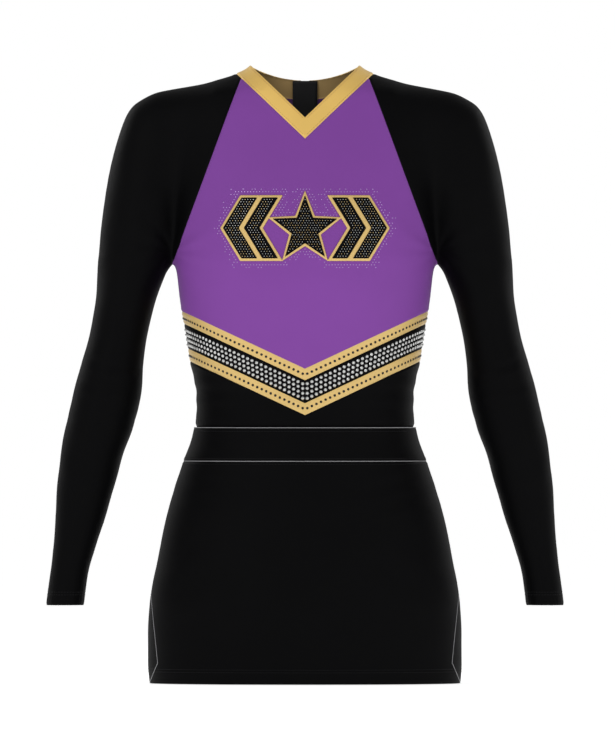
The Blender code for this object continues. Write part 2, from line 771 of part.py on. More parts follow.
def star(radius, inner):
    points = []
    for k in range(10):
        reach = radius if k % 2 == 0 else inner
        angle = math.pi * k / 5
        points.append((reach * math.sin(angle), STAR_Z + reach * math.cos(angle)))
    return points


def arrow(tip, grow):
    """A chevron that points outwards on the left side, grown all round."""
    slope = ARROW_SWEEP / ARROW_HALF_HEIGHT
    along = grow * math.hypot(1.0, slope)
    top = ARROW_HALF_HEIGHT + grow
    outer_x = tip + along
    inner_x = tip - ARROW_BAR - along
    return [
        (outer_x, EMBLEM_Z),
        (outer_x - slope * top, EMBLEM_Z + top),
        (inner_x - slope * top, EMBLEM_Z + top),
        (inner_x, EMBLEM_Z),
        (inner_x - slope * top, EMBLEM_Z - top),
        (outer_x - slope * top, EMBLEM_Z - top),
    ]


def emblem_outlines(star_radius, star_inner, grow):
    outlines = {"star": star(star_radius, star_inner)}
    for label, tip in ARROW_TIPS:
        for sign, side in SIDES:
            outlines[f"{label}_{side}"] = sided(arrow(tip, grow), sign)
    return outlines


def chest_layer(lifts, name):
    """A thin layer that follows the chest between two distances off the cloth."""
    near_lift, far_lift = lifts
    far = loft([top_ring(z, -far_lift) for z in CHEST_Z], name + "_far")
    rings = [top_ring(z, -near_lift) for z in CHEST_Z]
    rings.insert(0, [(x, y, z - LAYER_OVERRUN) for x, y, z in rings[0]])
    rings.append([(x, y, z + LAYER_OVERRUN) for x, y, z in rings[-1]])
    near = loft(rings, name + "_near")
    return joined(far, [near], "DIFFERENCE", name)


def emblem_backing():
    """One gold layer under the star and the arrows, showing all round them."""
    outlines = emblem_outlines(STAR_R + STAR_GROW, STAR_IN + STAR_IN_GROW, ARROW_GROW)
    base, *others = [
        frontal(outline, EMBLEM_SPAN, f"backing_cut_{label}")
        for label, outline in outlines.items()
    ]
    cutter = helper(joined(base, others, "UNION", "backing_cut"), "backing_cut")
    layer = chest_layer(BACKING_LIFTS, "backing_layer")
    cut(place(layer, "emblem_backing", "gold_trim", top_lift), cutter, "INTERSECT")


def emblem_faces():
    face_body = (chest_layer(FACE_LIFTS, "face_layer"), top_lift)
    for label, outline in emblem_outlines(STAR_R, STAR_IN, 0.0).items():
        panel(face_body, outline, EMBLEM_SPAN, f"emblem_{label}", "black_sparkle")


emblem_backing()
emblem_faces()

# ---------------------------------------------------------------- zips
# in the frame of a zip: X across, Y out of the back, Z up the chain
TAPE_WIDTH, TAPE_THICKNESS = 13.3, 0.8
TAPE_X, TAPE_Y = 7.05, -3.8
COIL_WIDTH, COIL_THICKNESS = 2.8, 1.7
COIL_X, COIL_Y = 1.75, -1.75
COIL_SHORTER = 4.0     # the coils are this much shorter than the chain
# name, size, centre; the first is the base that the others are joined to
SLIDER_PARTS = (
    ("slider_top", (7.0, 1.0, 9.0), (0, 0.0, 0)),
    ("slider_bottom", (7.4, 0.9, 8.0), (0, -5.0, 0)),
    ("slider_bridge", (0.5, 5.4, 1.8), (0, -2.5, 3.0)),
    ("slider_wall_a", (0.55, 1.8, 7.0), (3.72, -0.4, 0)),
    ("slider_wall_b", (0.55, 1.8, 7.0), (-3.72, -0.4, 0)),
    ("lug_leg_a", (1.5, 2.4, 1.1), (0, 1.6, 3.2)),
    ("lug_leg_b", (1.5, 2.4, 1.1), (0, 1.6, -3.2)),
    ("lug_bar", (1.5, 0.8, 7.5), (0, 2.8, 0)),
)
PULL_HINGE_Y = 1.45
PULL_HALF_THICKNESS = 0.45
# x, z of the pull seen square on: straight sides round the eye, then a tapered tab
PULL_OUTLINE = (
    (-3.3, 0.45), (3.3, 0.45), (3.3, -8.0), (4.2, -22.0),
    (2.6, -26.0), (-2.6, -26.0), (-4.2, -22.0), (-3.3, -8.0),
)
PULL_EYE_SIZE, PULL_EYE_CENTRE = (4.2, 5.6, 4.0), (0, -3.25, 0)


def zip_frame(line, along):
    """Frame of a zip, placed along mm from the low end of its line."""
    z_low, y_low, z_high, y_high = line
    up = Vector((0.0, y_high - y_low, z_high - z_low)).normalized()
    out = Vector((0.0, up.z, -up.y))
    return frame_of(((1.0, 0.0, 0.0), out, up), Vector((0.0, y_low, z_low)) + up * along)


def zip_chain(prefix, frame, length, tape_extra, parent):
    """Both tapes and both coils; the tapes run on past the top of the chain by tape_extra."""
    for sign, side in SIDES:
        name = f"{prefix}_tape_{side}"
        size = (TAPE_WIDTH, TAPE_THICKNESS, length + tape_extra)
        mesh = box_mesh(size, (sign * TAPE_X, TAPE_Y, tape_extra / 2), name)
        place(mesh, name, "zip_tape", parent, frame)
        name = f"{prefix}_coil_{side}"
        size = (COIL_WIDTH, COIL_THICKNESS, length - COIL_SHORTER)
        mesh = box_mesh(size, (sign * COIL_X, COIL_Y, 0.0), name)
        place(mesh, name, "zip_coil", parent, frame)


def zip_slider(prefix, frame, parent):
    """The slider and its axis, which is returned."""
    base, *others = [box(size, centre, name) for name, size, centre in SLIDER_PARTS]
    mesh = joined(base, others, "UNION", f"{prefix}_slider")
    axis = axis_empty(f"{prefix}_slide_axis", frame.translation / MM, parent)
    place(mesh, f"{prefix}_slider", "zip_metal", axis, frame)
    return axis


def zip_pull(prefix, frame, parent):
    pin = frame @ Matrix.Translation(Vector((0.0, PULL_HINGE_Y, 0.0)) * MM)
    hinge = axis_empty(f"{prefix}_pull_axis", pin.translation / MM, parent)
    plate = prism(PULL_OUTLINE, -PULL_HALF_THICKNESS, PULL_HALF_THICKNESS, "pull_plate")
    eye = box(PULL_EYE_SIZE, PULL_EYE_CENTRE, "pull_eye")
    mesh = joined(plate, [eye], "DIFFERENCE", f"{prefix}_pull")
    place(mesh, f"{prefix}_pull", "zip_metal", hinge, pin @ FRONTAL)


def zip_set(prefix, line, start, end, tape_end, slider_at, parent):
    """One whole zip; its positions are distances along the line."""
    length = end - start
    middle = zip_frame(line, start + length / 2)
    zip_chain(prefix, middle, length, tape_end - end, parent)
    slider_frame = zip_frame(line, slider_at)
    axis = zip_slider(prefix, slider_frame, parent)
    zip_pull(prefix, slider_frame, axis)


zip_set(
    "top_zip", TOP_BACK_LINE,
    start=6.0, end=376.0, tape_end=379.0, slider_at=364.0, parent=top_lift,
)
zip_set(
    "skirt_zip", SKIRT_BACK_LINE,
    start=3.0, end=150.0, tape_end=154.0, slider_at=138.0, parent=skirt_root,
)

# ---------------------------------------------------------------- panels of the skirt
# x, z of the gusset's edge: its upper end, its widest place and its lower end
GUSSET_PEAK, GUSSET_WIDEST, GUSSET_HEM = (169.6, 98.5), (161.7, 22.0), (171.4, 0.0)
BELOW_HEM = -5.0
SKIRT_WIDE = 190.0     # beyond the side of the skirt
GUSSET_WIDE = 200.0
ABOVE_WAIST = 300.0

panel_top = WAIST_LOW_Z - HALF_SEAM
band_low = WAIST_LOW_Z + HALF_SEAM
skirt_zip_end = SKIRT_BACK_LINE[0] - 2.0
# the side of a skirt panel: round the gusset, then out past the side up to the waist seam
skirt_side = [
    (GUSSET_HEM[0] - SEAM - 2.0, BELOW_HEM),
    (GUSSET_HEM[0] - SEAM - 0.9, 0.0),
    (GUSSET_WIDEST[0] - SEAM, GUSSET_WIDEST[1]),
    (GUSSET_PEAK[0] - 1.2, GUSSET_PEAK[1] - 4.0),
    (SKIRT_WIDE, GUSSET_PEAK[1] + 6.0),
    (SKIRT_WIDE, panel_top),
]
skirt_half = [(0.0, BELOW_HEM), *skirt_side, (0.0, panel_top)]
panel(SKIRT, symmetric(skirt_half), FRONT, "skirt_front_panel", "black_knit")

skirt_back = [
    (HALF_SEAM, BELOW_HEM),
    *skirt_side,
    (ZIP_CHANNEL, panel_top),
    (ZIP_CHANNEL, skirt_zip_end),
    (HALF_SEAM, skirt_zip_end),
]
panel_pair(SKIRT, skirt_back, BACK, "skirt_back", "black_knit")

gusset_outline = [
    (GUSSET_HEM[0] - 0.9, BELOW_HEM),
    (GUSSET_WIDE, BELOW_HEM),
    (GUSSET_WIDE, GUSSET_PEAK[1] - 2.0),
    (GUSSET_PEAK[0] - 0.4, GUSSET_PEAK[1] - 4.8),
    (GUSSET_WIDEST[0] + 0.2, GUSSET_WIDEST[1]),
    (GUSSET_HEM[0] - 0.9, 0.0),
]
panel_pair(SKIRT, gusset_outline, THROUGH, "side_gusset", "black_knit")


def waistband_outline(start_x):
    return [
        (start_x, band_low),
        (SKIRT_WIDE, band_low),
        (SKIRT_WIDE, ABOVE_WAIST),
        (start_x, ABOVE_WAIST),
    ]


panel_pair(SKIRT, waistband_outline(ZIP_CHANNEL), BACK, "waistband_back", "black_knit")
panel(SKIRT, waistband_outline(-SKIRT_WIDE), FRONT, "waistband_front", "black_knit")

# ---------------------------------------------------------------- waist elastic
WAIST_ELASTIC_Z = (248.0, 258.0, 268.0, 277.0)


def waist_elastic():
    """Elastic inside the waistband, open at the back for the zip."""
    outside = loft(
        [skirt_ring(z, SKIRT_CLOTH + ELASTIC_OUTER) for z in WAIST_ELASTIC_Z], "elastic_out"
    )
    inside = loft(
        [skirt_ring(z, SKIRT_CLOTH + ELASTIC_INNER) for z in (242.0, *WAIST_ELASTIC_Z, 282.0)],
        "elastic_in",
    )
    opening = box(size=(30.0, 60.0, 60.0), centre=(0, 84.0, 262.0), name="elastic_gap")
    mesh = joined(outside, [inside, opening], "DIFFERENCE", "waist_elastic")
    place(mesh, "waist_elastic", "elastic", skirt_root)


waist_elastic()

# ---------------------------------------------------------------- piping
PIPING_RADIUS = 0.7
WAIST_PIPING_LIFT, GUSSET_PIPING_LIFT = 1.1, 1.5  # centre of the cord off the skirt's surface
PIPING_END_X = ZIP_CHANNEL + 1.5
PIPING_PEAK = (GUSSET_PEAK[0] - 0.6, GUSSET_PEAK[1] - 1.5)
PIPING_HEM = (171.0, 0.8)
PEAK_STEPS, HEM_STEPS = 11, 5


def piping(points, name):
    """A thin cord along points, as a curve with filled caps."""
    curve = bpy.data.curves.new(name, "CURVE")
    curve.dimensions = "3D"
    curve.bevel_depth = PIPING_RADIUS * MM
    curve.bevel_resolution = 0
    curve.use_fill_caps = True
    spline = curve.splines.new("POLY")
    spline.points.add(len(points) - 1)
    for point, position in zip(spline.points, points):
        point.co = (*(Vector(position) * MM), 1.0)
    obj = bpy.data.objects.new(name, curve)
    garment.objects.link(obj)
    curve.materials.append(materials["piping"])
    attach(obj, skirt_root)


def skirt_line(z):
    """Points round the skirt at one height, from one side of the zip round to the other."""
    ring = skirt_ring(z, -WAIST_PIPING_LIFT)
    quarter = TORSO_SIDES // 4
    centre = ring[quarter]
    order = [ring[(quarter + 1 + k) % TORSO_SIDES] for k in range(TORSO_SIDES - 1)]

    def beside_zip(neighbour):
        t = (PIPING_END_X - abs(centre[0])) / (abs(neighbour[0]) - abs(centre[0]))
        return tuple(centre[k] + (neighbour[k] - centre[k]) * t for k in range(3))

    return [beside_zip(order[0])] + order + [beside_zip(order[-1])]


def on_skirt(x, z, facing):
    """The point over the skirt's surface at x and z; facing is -1 for the front, 1 for the back."""
    half_width, front, back, _, exponent = station_at(SKIRT_STATIONS, z)
    depth = (front if facing < 0 else back) + GUSSET_PIPING_LIFT
    share = min(abs(x) / (half_width + GUSSET_PIPING_LIFT), 1.0)
    return (x, facing * depth * (1 - share**exponent) ** (1 / exponent), z)


def between(start, end, t):
    return tuple(a + (b - a) * t for a, b in zip(start, end))


def gusset_piping(sign, side):
    """A cord from the hem up the front edge of the gusset, over its peak and down the back."""
    edge = [
        between(PIPING_PEAK, GUSSET_WIDEST, (k / PEAK_STEPS) ** 2)
        for k in range(1, PEAK_STEPS + 1)
    ]
    edge += [between(GUSSET_WIDEST, PIPING_HEM, k / HEM_STEPS) for k in range(1, HEM_STEPS + 1)]
    front, back = ([on_skirt(sign * x, z, facing) for x, z in edge] for facing in (-1, 1))
    peak_z = PIPING_PEAK[1]
    peak_x = station_at(SKIRT_STATIONS, peak_z)[0] + GUSSET_PIPING_LIFT
    piping(front[::-1] + [(sign * peak_x, 0.0, peak_z)] + back, f"gusset_piping_{side}")


piping(skirt_line(WAIST_TOP_Z - 1.0), "waist_piping_upper")
piping(skirt_line(WAIST_LOW_Z), "waist_piping_lower")
for sign, side in SIDES:
    gusset_piping(sign, side)

bpy.context.view_layer.update()
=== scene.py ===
"""Cheer uniform: a long-sleeved top and a skirt, with cloth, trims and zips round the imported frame.

It stands upright with the skirt hem at z = 0, the front towards -Y and the wearer's left
towards +X. Shapes are worked out in millimetres and built in metres.
"""

import math

import bmesh
import bpy
import numpy as np
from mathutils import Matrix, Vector
from mathutils.bvhtree import BVHTree
from mathutils.geometry import delaunay_2d_cdt
from numpy.linalg import norm


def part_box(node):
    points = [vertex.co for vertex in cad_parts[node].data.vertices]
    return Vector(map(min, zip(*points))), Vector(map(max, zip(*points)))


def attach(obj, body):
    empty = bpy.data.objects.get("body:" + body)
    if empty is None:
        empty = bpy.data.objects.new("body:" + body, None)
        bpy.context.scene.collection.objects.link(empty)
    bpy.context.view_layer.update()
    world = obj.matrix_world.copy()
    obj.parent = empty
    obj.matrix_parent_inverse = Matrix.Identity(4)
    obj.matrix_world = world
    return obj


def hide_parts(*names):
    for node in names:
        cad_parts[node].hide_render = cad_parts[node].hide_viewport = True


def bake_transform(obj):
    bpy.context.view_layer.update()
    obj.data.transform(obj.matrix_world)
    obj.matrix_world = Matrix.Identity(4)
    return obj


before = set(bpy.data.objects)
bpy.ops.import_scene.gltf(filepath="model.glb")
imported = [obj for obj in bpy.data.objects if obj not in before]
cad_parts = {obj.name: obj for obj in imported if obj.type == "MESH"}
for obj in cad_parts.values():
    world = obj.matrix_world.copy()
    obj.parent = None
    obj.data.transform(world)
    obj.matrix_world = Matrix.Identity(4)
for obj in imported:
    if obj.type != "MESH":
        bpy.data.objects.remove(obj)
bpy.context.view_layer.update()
MM = 0.001

# ---------------------------------------------------------------- dimensions
WAIST_TOP_Z, WAIST_LOW_Z = 281.6, 244.2
CUFF_Z, ARMPIT_Z = 85.8, 468.6
CUFF_HEM = 14.0
ZIP_CHANNEL = 4.6  # half width of the gap between the back panels
TAIL_LOW_Z, TOP_ZIP_LOW_Z, SKIRT_ZIP_LOW_Z = 254.0, 289.0, 128.0
# neck edges: z at the front midline, z at the back midline, then x and z of the shoulder tip
NECK_IN = (621.3, 664.0, 59.4, 678.7)
NECK_OUT = (598.2, 642.0, 74.8, 669.9)
NECK_LEAN_FRONT, NECK_LEAN_BACK = 0.73, 0.95  # height over a neck edge to distance from it
CHEVRON_RISE, CHEVRON_Z = 0.4646, (345.7, 333.1, 307.9, 295.0)
RAGLAN_X0, RAGLAN_Z0, RAGLAN_SLOPE = 73.15, 657.8, 0.3692
SHOULDER, ELBOW = (172.0, 608.0), (212.8, 342.0)
CUFF_X = 264.0
ARM_TILT = math.radians(11.5)
SLEEVE_JOIN = -52.0  # where upper and lower sleeve meet, along the arm from the elbow
# zip lines up the back: z and y of the low end, z and y of the high end
TOP_BACK_LINE = (285.0, 82.0, 660.0, 72.0)
SKIRT_BACK_LINE = (130.0, 115.8, 281.6, 84.0)
# front edge of the side gusset: x and z at its top, its bend and the hem
GUSSET_TOP, GUSSET_BEND, GUSSET_HEM = (169.6, 98.5), (161.7, 22.0), (171.4, 0.0)
TOP_THICK, SKIRT_THICK = 1.5, 1.6
SEAM_LIP = 2.6  # from the bottom of a seam to the swell beside it
SEAM_CUTS = (-SEAM_LIP, -1.1, 0.0, 1.1, SEAM_LIP)
SPINE_WIDTH = 42.0
SIDES = ((1, "left"), (-1, "right"))

# height, half width, front depth, back depth, hollow of the spine, superellipse power
TOP_STATIONS = (
    (284.6, 121, 86, 82, 0, 2.15), (300, 118.8, 84, 82, 0.4, 2.15),
    (317, 118.8, 84.5, 82, 0.9, 2.15), (333, 121, 87, 82.4, 1.7, 2.15),
    (350, 125, 90.5, 83.4, 3.1, 2.2), (383, 129.8, 99, 86, 6.6, 2.25),
    (416, 135.9, 110, 88.6, 10.1, 2.3), (449, 140.3, 117.5, 90.6, 13, 2.35),
    (468.6, 143.3, 118, 91.4, 14.3, 2.4), (500, 143.2, 113.5, 92, 15.7, 2.45),
    (530, 143.2, 103.5, 92, 16.5, 2.45), (560, 146, 91, 91, 16.3, 2.45),
    (590, 152, 77.5, 88, 14.1, 2.4), (610, 160, 68, 84, 10.7, 2.3),
    (625, 167, 61, 80, 7.1, 2.2), (636, 171, 56, 77.2, 4.5, 2.1),
    (646.8, 170, 51, 74.6, 2.2, 2), (652.3, 147.4, 48.5, 73.6, 1.4, 2),
    (657.8, 117.2, 46, 72.8, 0.7, 2), (663.3, 96, 43.5, 72.2, 0.3, 2),
    (669.9, 75.6, 41, 71.8, 0, 2), (678.7, 60, 38, 71.4, 0, 2),
    (692, 54, 36, 71, 0, 2),
)
SKIRT_STATIONS = (
    (0, 171, 99, 113, 0, 2.2), (22, 172.7, 101, 115.5, 0, 2.2),
    (53, 172.7, 103, 118, 0, 2.2), (86, 171, 104, 118.8, 0, 2.2),
    (110, 167.4, 103.6, 118, 0, 2.2), (130, 163.2, 102.8, 115.8, 0, 2.2),
    (152, 158.9, 101, 111.2, 0, 2.2), (185, 151.8, 97.5, 104.3, 0, 2.2),
    (218, 142.4, 93, 97.3, 0, 2.15), (244.2, 133.5, 89.8, 91.8, 0, 2.15),
    (267, 124.9, 87.2, 87.1, 0, 2.15), (281.6, 121.4, 86, 84, 0, 2.15),
)
# height, x of the centre, radius along X, radius along Y
SLEEVE_STATIONS = (
    (643.6, 166, 6, 8), (640, 166, 15.5, 20), (634, 166, 24, 29),
    (625, 166, 30.2, 36), (608, 167, 35.2, 41), (590, 168.5, 39.5, 44),
    (560, 171.2, 44.2, 46), (530, 174.6, 45.4, 46), (500, 179.2, 44.8, 45.2),
    (468.6, 185.1, 41.5, 43.6), (449, 191.1, 36.6, 42), (416, 198.3, 32.2, 39),
    (383, 204.9, 31.1, 37.2), (350, 211.8, 33.5, 37.4), (317, 217.5, 37.1, 38.2),
    (284, 225.5, 37.4, 37), (251, 234.3, 34.6, 34), (218, 240.9, 31.9, 31),
    (185, 246.4, 28, 28), (152, 253, 23.6, 25.4), (119, 259.6, 20.9, 24),
    (CUFF_Z, CUFF_X, 20.9, 24.2),
)
# the tail tucked into the waistband: height, half width, front depth, back depth
TAIL = (
    (248, 115.4, 79, 76), (262, 115.4, 79, 76), (275, 115.4, 79, 76), (278.5, 116.8, 81.2, 78.6),
    (281, 118.9, 83.6, 81.3), (283.5, 120.4, 85, 82.6), (286.5, 120.7, 85.3, 82.9),
    (290, 120.1, 84.9, 82.5), (293, 119.4, 84.4, 82.2),
)


def station_at(stations, z):
    """The columns past the height at z, by a cubic that doesn't overshoot the rows."""
    rows = sorted(stations)
    if z <= rows[0][0]:
        return rows[0][1:]
    if z >= rows[-1][0]:
        return rows[-1][1:]
    i = next(i for i in range(len(rows) - 1) if rows[i][0] <= z <= rows[i + 1][0])
    before, low, high, after = rows[max(i - 1, 0)], rows[i], rows[i + 1], rows[min(i + 2, len(rows) - 1)]
    span = high[0] - low[0]
    t = (z - low[0]) / span
    found = []
    for k in range(1, len(low)):
        middle = (high[k] - low[k]) / span

        def tangent(start, end):
            slope = (end[k] - start[k]) / (end[0] - start[0]) if end[0] > start[0] else middle
            return 0.0 if slope * middle <= 0 else 2 * slope * middle / (slope + middle)

        found.append(
            (2 * t**3 - 3 * t**2 + 1) * low[k] + (t**3 - 2 * t**2 + t) * span * tangent(before, low)
            + (3 * t**2 - 2 * t**3) * high[k] + (t**3 - t**2) * span * tangent(high, after)
        )
    return tuple(found)


def angles(count):
    return 2 * np.pi * np.arange(count) / count


def torso_ring(row, z, count):
    half_width, front, back, hollow, power = row
    cos, sin = np.cos(angles(count)), np.sin(angles(count))
    x = half_width * np.sign(cos) * np.abs(cos) ** (2 / power)
    y = np.where(sin > 0, back, front) * np.sign(sin) * np.abs(sin) ** (2 / power)
    spine = hollow * np.exp(-((x / SPINE_WIDTH) ** 2)) * np.sqrt(np.abs(sin))
    return np.stack([x, y - np.where(sin > 0, spine, 0), np.full(count, z)], 1)


def sleeve_ring(z, count, side):
    centre, radius_x, radius_y = station_at(SLEEVE_STATIONS, z)
    turn = angles(count)
    x = side * (centre + radius_x * np.cos(turn))
    return np.stack([x, radius_y * np.sin(turn), np.full(count, z)], 1)


def raglan_x(z):
    return RAGLAN_X0 + RAGLAN_SLOPE * (RAGLAN_Z0 - z)


def neck_z(edge, x, front):
    """Height of a neck edge: a V in front, a parabola behind."""
    front_z, back_z, tip_x, tip_z = edge
    if front:
        return front_z + (tip_z - front_z) * np.abs(x) / tip_x
    return back_z + (tip_z - back_z) * (x / tip_x) ** 2


def smoothstep(t):
    t = np.clip(t, 0.0, 1.0)
    return t * t * (3 - 2 * t)


def bell(distance, width):
    return np.exp(-((distance / width) ** 2))


def wave(distance, length, phase=0.0):
    return np.cos(2 * np.pi * distance / length + phase)


def seam(distance):
    """A groove with a slight swell on both sides."""
    return -0.55 * bell(distance, 0.95) + 0.16 * bell(np.abs(distance) - SEAM_LIP, 1.2)


def unit(rows, least=0.0):
    return rows / np.maximum(norm(rows, axis=-1, keepdims=True), least)


def arc_lengths(path):
    return np.concatenate([[0], np.cumsum(norm(np.diff(path, axis=0), axis=1))])


def interpolated(at, arc, rows):
    return np.stack([np.interp(at, arc, rows[:, k]) for k in range(3)], -1)


# ---------------------------------------------------------------- meshes in numpy
def skin(rings, closed_ends=True):
    """Points and triangles of a tube over rings of equal count."""
    count = len(rings[0])
    points = np.concatenate(rings)
    faces = []
    here = np.arange(count)
    ahead = (here + 1) % count
    for k in range(len(rings) - 1):
        low, low_next = here + k * count, ahead + k * count
        high_next, high = ahead + (k + 1) * count, here + (k + 1) * count
        faces += [np.stack([low, low_next, high_next], 1), np.stack([low, high_next, high], 1)]
    if closed_ends:
        for k, flip in ((0, True), (len(rings) - 1, False)):
            centre = np.full(count, len(points))
            points = np.vstack([points, rings[k].mean(0)])
            fan = np.stack([here + k * count, ahead + k * count, centre], 1)
            faces.append(fan[:, ::-1] if flip else fan)
    return points, np.concatenate(faces)


def directed_edges(faces):
    return np.concatenate([faces[:, [0, 1]], faces[:, [1, 2]], faces[:, [2, 0]]])


def border_edges(faces):
    """Directed edges that belong to one triangle only."""
    edges = directed_edges(faces).astype(np.int64)
    count = faces.max() + 1
    forth = edges[:, 0] * count + edges[:, 1]
    back = edges[:, 1] * count + edges[:, 0]
    return edges[~np.isin(back, forth)]


def split(points, faces, values, snap=0.04):
    """Adds vertices where the values cross zero, so that edges follow the zero line."""
    values = np.where(np.abs(values) < snap, 0.0, values)
    sign = np.sign(values).astype(int)
    face_signs = sign[faces]
    crossing = (face_signs.min(1) < 0) & (face_signs.max(1) > 0)
    if not crossing.any():
        return points, faces
    cut_faces = faces[crossing]
    edges = np.unique(np.sort(directed_edges(cut_faces), 1), axis=0)
    edges = edges[sign[edges[:, 0]] * sign[edges[:, 1]] < 0]
    start, end = edges.T
    share = (values[start] / (values[start] - values[end]))[:, None]
    added = points[start] * (1 - share) + points[end] * share
    index = {(int(a), int(b)): len(points) + k for k, (a, b) in enumerate(edges)}
    new = []
    for triangle in cut_faces.tolist():
        above, below = [], []
        for k in range(3):
            here, ahead = triangle[k], triangle[(k + 1) % 3]
            if sign[here] >= 0:
                above.append(here)
            if sign[here] <= 0:
                below.append(here)
            if sign[here] * sign[ahead] < 0:
                middle = index[(min(here, ahead), max(here, ahead))]
                above.append(middle)
                below.append(middle)
        for polygon in (above, below):
            for k in range(1, len(polygon) - 1):
                new.append((polygon[0], polygon[k], polygon[k + 1]))
    return np.vstack([points, added]), np.concatenate([faces[~crossing], np.array(new, int)])


def split_along(points, faces, fields, cuts):
    for name, levels in cuts:
        for level in levels:
            points, faces = split(points, faces, fields(points)[name] - level)
    return points, faces


def vertex_normals(points, faces):
    first, second, third = (points[faces[:, k]] for k in range(3))
    cross = np.cross(second - first, third - first)
    total = np.zeros_like(points)
    for k in range(3):
        for axis in range(3):
            total[:, axis] += np.bincount(faces[:, k], cross[:, axis], len(points))
    return unit(total, 1e-12)


def relax(points, faces, share, rounds):
    """Moves each point towards the mean of its neighbours by its share."""
    start, end = np.unique(np.sort(directed_edges(faces), 1), axis=0).T
    count = len(points)
    neighbours = np.bincount(np.concatenate([start, end]), minlength=count).astype(float)
    points = points.copy()
    for _ in range(rounds):
        mean = np.zeros_like(points)
        for axis in range(3):
            mean[:, axis] = np.bincount(start, points[end, axis], count) + np.bincount(
                end, points[start, axis], count
            )
        mean /= np.maximum(neighbours, 1)[:, None]
        points += (mean - points) * share[:, None]
    return points


def build(name, points, faces, mats, which=None, normals=None, smooth=True):
    """An object from millimetre points, with a material index per face and normals per corner."""
    mesh = bpy.data.meshes.new(name)
    faces = [tuple(face) for face in (faces.tolist() if isinstance(faces, np.ndarray) else faces)]
    mesh.from_pydata((np.asarray(points) * MM).tolist(), [], faces)
    for mat in mats:
        mesh.materials.append(mat)
    if which is not None:
        mesh.polygons.foreach_set("material_index", np.asarray(which, np.int32))
    mesh.polygons.foreach_set("use_smooth", np.full(len(faces), smooth))
    mesh.update()
    if normals is not None:
        mesh.normals_split_custom_set(normals)
    obj = bpy.data.objects.new(name, mesh)
    bpy.context.scene.collection.objects.link(obj)
    return obj


def face_outwards(obj):
    shape = bmesh.new()
    shape.from_mesh(obj.data)
    bmesh.ops.recalc_face_normals(shape, faces=shape.faces)
    shape.to_mesh(obj.data)
    shape.free()


def closed_sheet(faces, count):
    """Polygons of a sheet whose inner points follow its count outer ones, and its rim quads."""
    start, end = border_edges(faces).T
    rim = np.stack([end, start, start + count, end + count], 1)
    return faces.tolist() + (faces[:, ::-1] + count).tolist() + rim.tolist(), rim


def shell(name, surface, chosen, thick, mats):
    """A closed sheet of cloth over the chosen triangles, thickened inwards, with a rim."""
    used, local = np.unique(surface.faces[chosen], return_inverse=True)
    local = local.reshape(-1, 3)
    outer, normals = surface.points[used], surface.normals[used]
    polygons, rim = closed_sheet(local, len(used))
    points = np.vstack([outer, outer - normals * thick])
    start = points[rim[:, 0]]
    rim_normals = unit(
        np.cross(points[rim[:, 1]] - start, points[rim[:, 3]] - start), 1e-9
    )
    corners = np.concatenate(
        [normals[local.ravel()], -normals[local[:, ::-1].ravel()], np.repeat(rim_normals, 4, axis=0)]
    )
    which = np.repeat([0, 1, 0], [len(local), len(local), len(rim)])
    return build(name, points, polygons, mats, which, corners.tolist())


def prism(rings, count):
    """Quads between rings of count points, then the first and last caps."""
    faces = []
    for k in range(rings - 1):
        low, high = k * count, (k + 1) * count
        for i in range(count):
            j = (i + 1) % count
            faces.append((low + i, low + j, high + j, high + i))
    last = (rings - 1) * count
    return faces + [tuple(range(count))[::-1], tuple(range(last, last + count))]


def copied(faces, size, copies):
    """The faces again for each copy of a shape of size points."""
    return [tuple(i + k * size for i in face) for k in range(copies) for face in faces]


def tube(name, path, radius, mat, least_step=0.3, sides=8):
    """A round cord along a path, without points closer than the least step."""
    kept = [np.asarray(path[0], float)]
    for point in path[1:]:
        if norm(point - kept[-1]) > least_step:
            kept.append(np.asarray(point, float))
    path = np.array(kept)
    tangent = unit(np.vstack([path[1:], path[-1]]) - np.vstack([path[0], path[:-1]]))
    # any direction that the path never follows
    up = unit(np.cross(tangent, [0.31, 0.23, 0.92]))
    side = np.cross(tangent, up)
    turn = angles(sides)[None, :, None]
    rings = path[:, None] + radius * (np.cos(turn) * up[:, None] + np.sin(turn) * side[:, None])
    return build(name, rings.reshape(-1, 3), prism(len(path), sides), [mat])


def scatter(name, spots, outs, shape, mats, spin=None, which=None):
    """Flat-shaded copies of a small shape as one mesh, with its Z out of the cloth."""
    base, faces = shape
    base = np.asarray(base, float)
    spots, outs = np.asarray(spots, float), unit(np.asarray(outs, float))
    level = np.where(np.abs(outs[:, 2:3]) > 0.9, [[0.0, 1.0, 0.0]], [[0.0, 0.0, 1.0]])
    across = unit(np.cross(level, outs))
    along = np.cross(outs, across)
    if spin is not None:
        cos, sin = np.cos(spin)[:, None], np.sin(spin)[:, None]
        across, along = across * cos + along * sin, along * cos - across * sin
    points = (
        spots[:, None] + base[None, :, 0:1] * across[:, None] + base[None, :, 1:2] * along[:, None]
        + base[None, :, 2:3] * outs[:, None]
    ).reshape(-1, 3)
    index = None if which is None else np.repeat(which, len(faces))
    polygons = copied(faces, len(base), len(spots))
    return build(name, points, polygons, mats, index, smooth=False)


def gem(radius, height, sides=8, sink=0.4):
    """A flat-backed stone: table, crown facets and girdle."""
    table, girdle = 0.5, 0.25  # shares of the radius and of the height
    points = []
    for ring, z, turn in ((radius, -sink, 0.0), (radius, girdle * height, 0.0), (radius * table, height, 0.5)):
        for k in range(sides):
            angle = 2 * math.pi * (k + turn) / sides
            points.append((ring * math.cos(angle), ring * math.sin(angle), z))
    faces = [tuple(range(sides))[::-1]]
    for k in range(sides):
        j = (k + 1) % sides
        faces.append((k, j, sides + j, sides + k))
        faces.append((sides + k, sides + j, 2 * sides + k))
        faces.append((sides + j, 2 * sides + j, 2 * sides + k))
    faces.append(tuple(range(2 * sides, 3 * sides)))
    return points, faces


